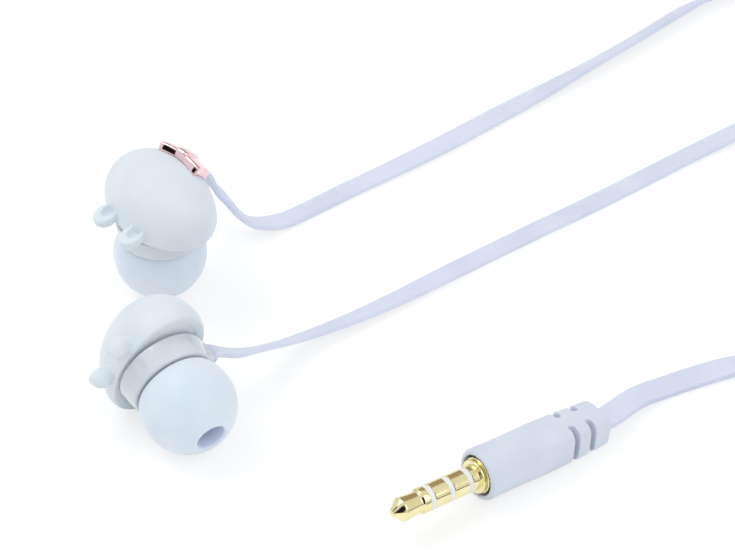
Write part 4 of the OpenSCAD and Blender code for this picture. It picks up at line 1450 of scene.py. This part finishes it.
@dataclass
class Plug:
    """Four-pole plug: +X runs from its point to the cord, with its axis at Z = 0.

    Outlines of turned pieces are places along the axis with the radius there.
    """

    at: Point = (30.4, -36.1, 5.088566)
    heading: float = 37.0
    pitch: float = 4.55995
    shaft_r: float = 1.75
    shaft: float = 14.0
    edge: float = 0.06
    point: tuple[Pair, ...] = (
        (0, 0), (0.1, 0.38), (1.42, 1.62), (1.56, 1.66), (1.75, 1.65), (4.0, 1.46), (4.2, 1.46),
        (4.38, 1.69), (4.5, 1.75),
    )
    contact_end: float = 5.4
    insulator: float = 0.75
    insulator_sink: float = 0.03
    insulator_edge: float = 0.04
    ring: float = 2.35
    flange: Pair = (2.0, 2.5)
    lip: Pair = (0.55, 2.35)
    lip_edge: float = 0.1
    lip_groove: Point = (-0.12, 0.06, 0.3)
    flange_step: float = 0.6
    gap: float = 0.04
    bore_depth: float = 8.0
    recess_r: float = 2.85
    grip_r: float = 3.65
    grip_length: float = 20.94
    grip_end: Pair = (5.6, 4.7)
    grip_steps: int = 24
    oblong: Point = (0.08, 0.85, 2.6)
    skin_voxel: float = 0.12
    skin_rounds: int = 5
    nose: float = 0.7
    nose_steps: tuple[float, ...] = (0.06, 0.2, 0.45, 0.7, 1.0)
    slot: float = 0.9
    slot_ease: float = 0.05
    rib: float = 2.0
    tail: float = 0.9
    spine: float = 2.2

    @property
    def place(self) -> Matrix:
        """From the plug's frame to the row frame, in millimetres."""
        return Matrix.Translation(self.at) @ turn("Z", self.heading) @ turn("Y", self.pitch)

    @property
    def way(self) -> Vector:
        """Direction from the plug's point to the cord."""
        return self.place.to_3x3() @ Vector((1, 0, 0))

    @property
    def cord_end(self) -> Vector:
        """Point where the cord leaves the grip, in millimetres."""
        return Vector(self.at) + self.way * (self.shaft + self.grip_length)

    def _turned(
        self, outline: Sequence[Pair], edge: float, finish: Material,
        slot: str, name: str, node: str,
    ) -> None:
        """Turns an outline round the plug's axis, each corner cut by edge, and seats the piece."""
        obj = lathe([(r, x) for x, r in chamfered(outline, edge)])
        fit_piece(obj, name, self.place @ turn("Y", 90), finish, slot, node, smooth_angle=30)

    def contacts(self, gold: Material, white: Material) -> None:
        """The tip, two rings, sleeve with flange, and the three insulators.

        Args:
            gold: finish of the four contacts.
            white: finish of the insulators.
        """
        r, x = self.shaft_r, self.contact_end
        tip = [*self.point, (x, r), (x, 0)]
        self._turned(tip, self.edge, gold, "gold", "plug_point", "plug_tip")
        for number in (1, 2, 3):
            sunk, end = r - self.insulator_sink, x + self.insulator
            band = [(x, 0), (x, sunk), (end, sunk), (end, 0)]
            self._turned(
                band, self.insulator_edge, white, "insulator",
                f"plug_band_{number}", f"plug_insulator_{number}",
            )
            x = end
            if number < 3:
                ring = [(x, 0), (x, r), (x + self.ring, r), (x + self.ring, 0)]
                self._turned(
                    ring, self.edge, gold, "gold", f"plug_contact_{number}", f"plug_ring_{number}"
                )
                x += self.ring
        end, edge, (thick, wide), (rise, small) = self.shaft, self.lip_edge, self.flange, self.lip
        front, back, (start, stop, deep) = end - rise, end + self.flange_step, self.lip_groove
        sleeve = [
            (x, 0), (x, r), (front, r), (front, small - edge), (front + edge, small),
            (end + start - edge, small), (end + start, small - edge), (end + start, small - deep),
            (end + stop, small - deep), (end + stop, wide - edge), (end + stop + edge, wide),
            (back - edge, wide), (back, wide - edge), (end + thick, wide - edge), (end + thick, 0),
        ]
        self._turned(sleeve, self.edge, gold, "gold", "plug_barrel", "plug_sleeve")

    def grip(self) -> Piece:
        """The moulded grip, round at the flange, oblong at the cord, with slotted strain relief.

        Returns:
            The grip.
        """
        length, steps = self.grip_length, self.grip_steps
        nose = [self.nose * k for k in self.nose_steps]
        cuts = [*nose, *(length - k for k in nose), *(length * i / steps for i in range(1, steps))]
        grip = rod(1, (0, 0, 0), length, segments=64)
        with editing(grip):
            for height in cuts:
                pick_all()
                bpy.ops.mesh.bisect(plane_co=(0, 0, height), plane_no=(0, 0, 1))
        for vertex in grip.data.vertices:
            along = vertex.co.z
            u, v = self._outline(math.atan2(vertex.co.y, vertex.co.x), along)
            vertex.co = (self.shaft + along, u, v)
        shaft = (self.shaft_r + self.gap, self.bore_depth)
        for radius, depth in (shaft, (self.recess_r, self.flange[0] + self.gap)):
            bore = rod(radius, (0, 0, self.shaft - 1), depth + 1, segments=64)
            bore.matrix_world = turn("Y", 90)
            combine(grip, bore, "DIFFERENCE")
        relief = self.tail + 2 * (self.slot + self.rib)
        for back in (relief, relief - self.slot - self.rib):
            for sense in (-1, 1):
                combine(grip, self._slot_cutter(back, sense), "DIFFERENCE")
        soften(grip, self.skin_voxel, self.skin_rounds)
        return grip

    def _slot_cutter(self, back: float, sense: int) -> Piece:
        """A slot from one side towards the spine, with a round inner end.

        Args:
            back: where it starts, counted from the grip's cord end.
            sense: 1 for the side at +Y, -1 for the other.

        Returns:
            The tool that cuts it.
        """
        wide, tall = 8.0, 12.0
        middle = self.shaft + self.grip_length - back + self.slot / 2
        inner = self.spine / 2 + self.slot / 2
        cutter = block((self.slot, wide, tall), (middle, sense * (inner + wide / 2), 0))
        radius, foot = self.slot / 2 + self.slot_ease, (middle, sense * inner, -tall / 2)
        combine(cutter, rod(radius, foot, tall, segments=24), "UNION")
        return cutter

    def _outline(self, angle: float, along: float) -> Pair:
        """A point round the grip.

        Args:
            angle: angle round the axis.
            along: place along the grip.

        Returns:
            The point's places across and up.
        """
        share = along / self.grip_length
        start, span, gain = self.oblong
        width, height = (self.grip_r + (end / 2 - self.grip_r) * share for end in self.grip_end)
        power = 2 + gain * ease((share - start) / span)
        c, s = math.cos(angle), math.sin(angle)
        scale = (abs(c) ** power + abs(s) ** power) ** (-1 / power)
        edge = min(along, self.grip_length - along, self.nose)
        drawn = self.nose - math.sqrt(max(0.0, self.nose**2 - (self.nose - edge) ** 2))
        return (width - drawn) * scale * c, (height - drawn) * scale * s

    def build(self, finishes: Finishes) -> None:
        """Models, dresses and seats the plug.

        Args:
            finishes: the earphones' finishes.
        """
        self.contacts(finishes.gold, finishes.ring)
        fit_piece(
            self.grip(), "plug_mould", self.place, finishes.grip, "matte_shell", "plug_grip",
            smooth_angle=50,
        )


@dataclass
class Splitter:
    """Two-shell splitter: +X runs from the earbud cords to the plug cord, on Z = 0."""

    at: Point = (129.3, 9.6, 0.0)
    heading: float = -90.0
    length: float = 15.0
    wide: float = 9.6
    narrow: float = 5.6
    height: float = 4.4
    corner: float = 1.2
    edge: float = 0.6
    seam: float = 0.15
    branch_side: float = 2.0

    @property
    def place(self) -> Matrix:
        """From the splitter's frame to the row frame, in millimetres."""
        return Matrix.Translation(self.at) @ turn("Z", self.heading)

    @property
    def way(self) -> Vector:
        """Direction from the earbud cords to the plug cord."""
        return self.place.to_3x3() @ Vector((1, 0, 0))

    def port(self, along: float, across: float) -> Rib:
        """A cord's port on one of the splitter's ends, at half height."""
        return Rib(self.place @ Vector((along, across, self.height / 2)), 0)

    def _shell(self, upwards: bool) -> Piece:
        """One half shell with a rounded outer edge.

        Args:
            upwards: whether it is the upper one.

        Returns:
            The shell.
        """
        thick = (self.height - self.seam) / 2
        low = self.height - thick if upwards else 0.0
        outer = self.height if upwards else 0.0
        shell = block((self.length, self.wide, thick), (self.length / 2, 0, low + thick / 2))
        with editing(shell):
            pick_faces(shell, lambda c, n: n.x > 0.9)
            bpy.ops.transform.resize(value=(1, self.narrow / self.wide, 1))
            bpy.ops.mesh.select_mode(type="EDGE")
            pick_edges(shell, lambda a, b: abs(a.z - b.z) > thick / 2)
            bevel(self.corner, segments=8)
            pick_edges(shell, level_at(outer))
            bevel(self.edge, segments=5)
        return shell

    def build(self, finish: Material) -> None:
        """Models, dresses and seats both shells.

        Args:
            finish: the shells' finish.
        """
        for upwards, label in ((False, "lower"), (True, "upper")):
            fit_piece(
                self._shell(upwards), f"splitter_{label}_cover", self.place, finish,
                "matte_shell", f"splitter_{label}_shell", smooth_angle=35,
            )


@dataclass
class Remote:
    """In-line remote: +X runs along the cord, on Z = 0."""

    at: Point = (91.3, 53.6, 0.0)
    heading: float = -9.0
    length: float = 26.0
    width: float = 7.6
    height: float = 6.0
    corner: float = 2.2
    edge: float = 0.8
    wall: float = 0.9
    seam: float = 0.15
    button: Pair = (9.0, 3.6)
    button_rise: float = 0.5
    button_floor: float = 4.52
    button_corner: float = 1.78
    button_edge: float = 0.35
    button_flange: Pair = (0.5, 0.5)
    flange_corner: float = 2.25
    run_gap: float = 0.08
    port_x: float = 21.0
    port_r: float = 0.5

    @property
    def place(self) -> Matrix:
        """From the remote's frame to the row frame, in millimetres."""
        return Matrix.Translation(self.at) @ turn("Z", self.heading)

    @property
    def way(self) -> Vector:
        """Direction along the cord, away from the earbud."""
        return self.place.to_3x3() @ Vector((1, 0, 0))

    def port(self, along: float) -> Rib:
        """Where the cord meets one of the remote's ends, at half height."""
        return Rib(self.place @ Vector((along, 0, self.height / 2)), 0)

    def _oblong(self, size: Point, low: float, corner: float) -> Piece:
        """A block with round upright corners, in the middle of the remote.

        Args:
            size: its length, width and height.
            low: height of its underside.
            corner: radius of its corners.

        Returns:
            The block.
        """
        body = block(size, (self.length / 2, 0, low + size[2] / 2))
        with editing(body, "EDGE"):
            pick_edges(body, lambda a, b: abs(a.z - b.z) > size[2] / 2)
            bevel(corner, segments=10)
        return body

    @staticmethod
    def _eased(body: Piece, height: float, edge: float) -> Piece:
        """Rounds a block's edges at one height.

        Args:
            body: the block.
            height: the edges' height.
            edge: size of the rounded edges.

        Returns:
            The block.
        """
        with editing(body, "EDGE"):
            pick_edges(body, level_at(height))
            bevel(edge, segments=5)
        return body

    def _shell(self, upwards: bool) -> Piece:
        """One hollow half shell.

        Args:
            upwards: whether it is the front one, with the button's window and the sound port.

        Returns:
            The shell.
        """
        thick = (self.height - self.seam) / 2
        low, outer = (self.height - thick, self.height) if upwards else (0.0, 0.0)
        shell = self._oblong((self.length, self.width, thick), low, self.corner)
        self._eased(shell, outer, self.edge)
        inner = (self.length - 2 * self.wall, self.width - 2 * self.wall, thick)
        floor = low - self.wall if upwards else low + self.wall
        combine(shell, self._oblong(inner, floor, self.corner - self.wall), "DIFFERENCE")
        if upwards:
            long, wide = (side + 2 * self.run_gap for side in self.button)
            window = (long, wide, self.height)
            combine(shell, self._oblong(window, self.height / 2, self.button[1] / 2), "DIFFERENCE")
            foot = (self.port_x, 0, self.height / 2)
            sound = rod(self.port_r, foot, self.height, segments=32)
            combine(shell, sound, "DIFFERENCE")
        return shell

    def _press_button(self) -> Piece:
        """The press button: a softly edged oblong on its flange.

        Returns:
            The button.
        """
        top, (rim, thick) = self.height + self.button_rise, self.button_flange
        key = (*self.button, top - self.button_floor)
        button = self._oblong(key, self.button_floor, self.button_corner)
        flange = (self.button[0] + 2 * rim, self.button[1] + 2 * rim, thick)
        return join([
            self._eased(button, top, self.button_edge),
            self._oblong(flange, self.button_floor, self.flange_corner),
        ])

    def build(self, finishes: Finishes) -> None:
        """Models, dresses and seats the remote.

        Args:
            finishes: the earphones' finishes.
        """
        shell, gloss = finishes.shell, finishes.gloss
        pieces = (
            ("back_cover", self._shell(False), shell, "matte_shell", "back_shell", ROOT),
            ("front_cover", self._shell(True), shell, "matte_shell", "front_shell", ROOT),
            ("press_button", self._press_button(), gloss, "gloss_shell", "button", "button"),
        )
        for piece, obj, material, slot, node, body in pieces:
            fit_piece(
                obj, f"remote_{piece}", self.place, material, slot, f"remote_{node}", body, 35
            )
        dress_nodes({
            "remote_board": finishes.board,
            "remote_switch": finishes.steel,
            "remote_microphone": finishes.steel,
        })


LEFT_ROUTE: list[Station] = [
    (2.1, 25.1, 12.3, 102), (3, 27.3, 11.3, 118), (4.2, 28.6, 9.7, 142), (5.6, 28.8, 7.8, 151),
    (7.3, 28.2, 5.9, 146), (9.2, 27.7, 3.6, 152), (11.3, 28.1, 2, 172), (14.6, 29.9, 0.9, 182),
    (17.8, 32.3, 0.6, 181), (24.5, 37.7, 0.6, 183), (31.6, 43, 0.8, 187), (38.8, 48.7, 0.9, 192),
    (46.2, 55.3, 0.8, 188), (53.7, 61.8, 0.8, 174), (61.4, 68.2, 1.3, 152), (69.3, 75.5, 1.4, 147),
    (77.8, 83.9, 1.4, 146), (84.3, 88.5, 1.5, 124), (91.3, 90.6, 1.5, 100), (98.3, 90.9, 1.47, 90),
]
RIGHT_ROUTE: list[Station] = [
    (9.2, -6.85, 7.2, -20), (11.5, -5.1, 6.1, -30), (14.4, -1.5, 3.9, -33), (18.1, 2.3, 2.1, -31),
    (24.7, 7.2, 1.2, -22), (31.4, 12.3, 0.8, -10), (38.3, 17.9, 0.6, -2), (45.2, 23.3, 0.5, 0),
    (52.3, 28.7, 0.5, 0), (59.6, 34.1, 0.5, 0), (66.9, 39.8, 0.5, 0), (74.7, 45.9, 0.6, 0),
    (81.7, 50.8, 1, 0), (86.5, 53.1, 2.2, 0),
]
PLUG_ROUTE: list[Station] = [
    (63.7, -9.1, 1.1, 0), (67.9, -6.3, 0.6, 0), (72.8, -3.9, 0.6, 0), (77.9, -2, 0.8, -6),
    (82.3, -1.9, 1.6, -34), (85.4, -4.9, 3.2, -66), (86.6, -9, 5, -86),
]
LEFT_LINK_ROUTE: list[Station] = [
    (128.1, 65.8, 4.6, 90), (129.2, 57.3, 3, 82), (130.5, 48.3, 1.7, 56), (131.3, 38.3, 0.9, 22),
    (131.5, 28.3, 0.6, 0), (131.3, 19.3, 0.9, 0), (131.3, 13.8, 1.9, 0),
]
RIGHT_LINK_1_ROUTE: list[Station] = [
    (119.9, 48.2, 3.3, 14), (122.2, 44.7, 4.1, 44), (122.9, 39.9, 4.8, 76),
]
RIGHT_LINK_2_ROUTE: list[Station] = [(126.6, 18.3, 1.6, 70), (127.2, 14.1, 1.9, 26)]
PLUG_LINK_ROUTE: list[Station] = [(128.2, -10.9, 1.9, 66), (128.9, -8.3, 2.1, 24)]


@dataclass
class CordSet:
    """The three flat cords with their coils, from earbuds and plug to the splitter."""

    left: Earbud
    right: Earbud
    plug: Plug
    splitter: Splitter
    remote: Remote
    finish: Material
    branch: FlatCord = field(default_factory=lambda: FlatCord(
        width=2.9, thickness=0.95, corner=0.3
    ))
    main: FlatCord = field(default_factory=lambda: FlatCord(
        width=3.6, thickness=1.1, corner=0.3, groove=0.1
    ))
    left_coil: Coil = field(default_factory=lambda: Coil(
        at=(111.3, 74.8), radius=16.5, pitch=1.9, start=100, sweep=815,
        way=Winding.CLOCKWISE, from_top=False,
    ))
    right_coil: Coil = field(default_factory=lambda: Coil(
        at=(109.3, 24.8), radius=17.0, pitch=1.9, start=25, sweep=745,
        way=Winding.CLOCKWISE, from_top=True,
    ))
    main_coil: Coil = field(default_factory=lambda: Coil(
        at=(107.3, -17.2), radius=20.5, pitch=2.1, start=180, sweep=2340,
        way=Winding.COUNTERCLOCKWISE, from_top=True,
    ))
    plug_straight: float = 2.0

    @staticmethod
    def _leaving(bud: Earbud) -> list[Rib]:
        """Two stations straight out of an earbud's collar.

        Args:
            bud: the earbud.

        Returns:
            The stations, the second one twisted as the cord is.
        """
        angle = math.radians(bud.side.value * bud.exit_angle)
        first, second = (
            Vector(bud.at)
            + bud.spin @ Vector((r * math.cos(angle), r * math.sin(angle), bud.collar_low / 2))
            for r in (bud.collar_end, bud.collar_end + bud.exit_straight)
        )
        way, across = (second - first).normalized(), bud.spin @ Vector((0, 0, 1))
        side = Vector((0, 0, 1)).cross(way).normalized()
        roll = math.degrees(math.atan2(across.dot(way.cross(side)), across.dot(side)))
        return [Rib(first, roll), Rib(second, roll + bud.exit_twist)]

    @staticmethod
    def _wound(
        before: Sequence[Rib], coil: Sequence[Rib], after: Sequence[Rib], steps: tuple[int, int]
    ) -> list[Rib]:
        """A whole cord with a coil in it.

        Args:
            before: stations before the coil.
            coil: the coil's own stations, which stay as they are.
            after: stations after the coil.
            steps: steps in each span before and after the coil.

        Returns:
            The whole cord's stations.
        """
        lead = FlatCord.smoothed([*before, coil[0]], steps[0])
        rest = FlatCord.smoothed([coil[-1], *after], steps[1])
        return [*lead[:-1], *coil, *rest[1:]]

    def _declare(
        self, name: str, cord: FlatCord, stations: Sequence[Rib], ends: tuple[Vector, Vector],
        nodes: Sequence[str],
    ) -> None:
        """Builds one whole cord, dresses it and seats it in place of the frame's nodes.

        Args:
            name: the cord's name.
            cord: its section.
            stations: its stations, in millimetres.
            ends: ways in which it runs at its two ends.
            nodes: the frame's nodes that it stands for.
        """
        obj = cord.build(name, stations, ends)
        obj.data.materials.append(self.finish)
        seat_piece(obj, ROOT, "cord", *nodes)

    def left_ribbon(self) -> None:
        """The left branch: from its earbud through its coil to the splitter."""
        start = self._leaving(self.left)
        port = self.splitter.port(0, self.splitter.branch_side)
        whole = self._wound(
            [*start, *ribs(LEFT_ROUTE)], self.left_coil.stations(self.branch.width),
            [*ribs(LEFT_LINK_ROUTE), port], (4, 4),
        )
        self._declare(
            "left_ribbon", self.branch, whole,
            ((start[1].at - start[0].at).normalized(), self.splitter.way),
            ("left_cord", "left_coil", "left_cord_link"),
        )

    def right_ribbon(self) -> None:
        """The right branch's first part: from its earbud to the remote."""
        start = self._leaving(self.right)
        whole = FlatCord.smoothed([*start, *ribs(RIGHT_ROUTE), self.remote.port(0)], 4)
        self._declare(
            "right_ribbon", self.branch, whole,
            ((start[1].at - start[0].at).normalized(), self.remote.way),
            ("right_cord",),
        )

    def remote_ribbon(self) -> None:
        """The right branch's second part: from the remote through its coil to the splitter."""
        port = self.splitter.port(0, -self.splitter.branch_side)
        whole = self._wound(
            [self.remote.port(self.remote.length), *ribs(RIGHT_LINK_1_ROUTE)],
            self.right_coil.stations(self.branch.width), [*ribs(RIGHT_LINK_2_ROUTE), port], (6, 6),
        )
        self._declare(
            "remote_ribbon", self.branch, whole, (self.remote.way, self.splitter.way),
            ("right_cord_link_1", "right_coil", "right_cord_link_2"),
        )

    def plug_ribbon(self) -> None:
        """The plug cord: from the splitter through its coil to the plug."""
        coil, end, way = self.main_coil.stations(self.main.width), self.plug.cord_end, self.plug.way
        over = [Rib(rib.at, rib.roll - 180) for rib in coil]
        link = [Rib(rib.at, rib.roll - 180) for rib in ribs(PLUG_LINK_ROUTE)]
        port = self.splitter.port(self.splitter.length, 0)
        whole = self._wound(
            [Rib(end, 0), Rib(end + self.plug_straight * way, 0), *ribs(PLUG_ROUTE)], over,
            [*link, Rib(port.at, -180)], (4, 6),
        )
        self._declare(
            "plug_ribbon", self.main, [Rib(rib.at, -rib.roll) for rib in reversed(whole)],
            (self.splitter.way, -way), ("plug_cord", "plug_cord_coil", "plug_cord_link"),
        )

    def build(self) -> None:
        """Models, dresses and seats every cord."""
        self.left_ribbon()
        self.right_ribbon()
        self.remote_ribbon()
        self.plug_ribbon()


def main() -> None:
    """Builds the studio, the cords and every sub-assembly."""
    logging.basicConfig(level=logging.INFO, format="%(name)s: %(message)s")
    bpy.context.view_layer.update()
    finishes = Finishes()
    left = Earbud(
        Side.LEFT, at=(-1.32, 15.39, 13.47823), lean=6.1, heading=-61.3, turned=103.2,
        exit_straight=1.3, exit_twist=0.0,
    )
    right = Earbud(
        Side.RIGHT, at=(-0.12, -10.96, 8.28574), lean=76.05, heading=123.4, turned=-68.6,
        exit_straight=0.7, exit_twist=-26.0,
    )
    plug, splitter, remote = Plug(), Splitter(), Remote()
    Studio().build()
    splitter.build(finishes.shell)
    remote.build(finishes)
    plug.build(finishes)
    CordSet(left, right, plug, splitter, remote, finishes.cord).build()
    left.build(finishes)
    right.build(finishes)
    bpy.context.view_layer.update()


if __name__ == "__main__":
    main()
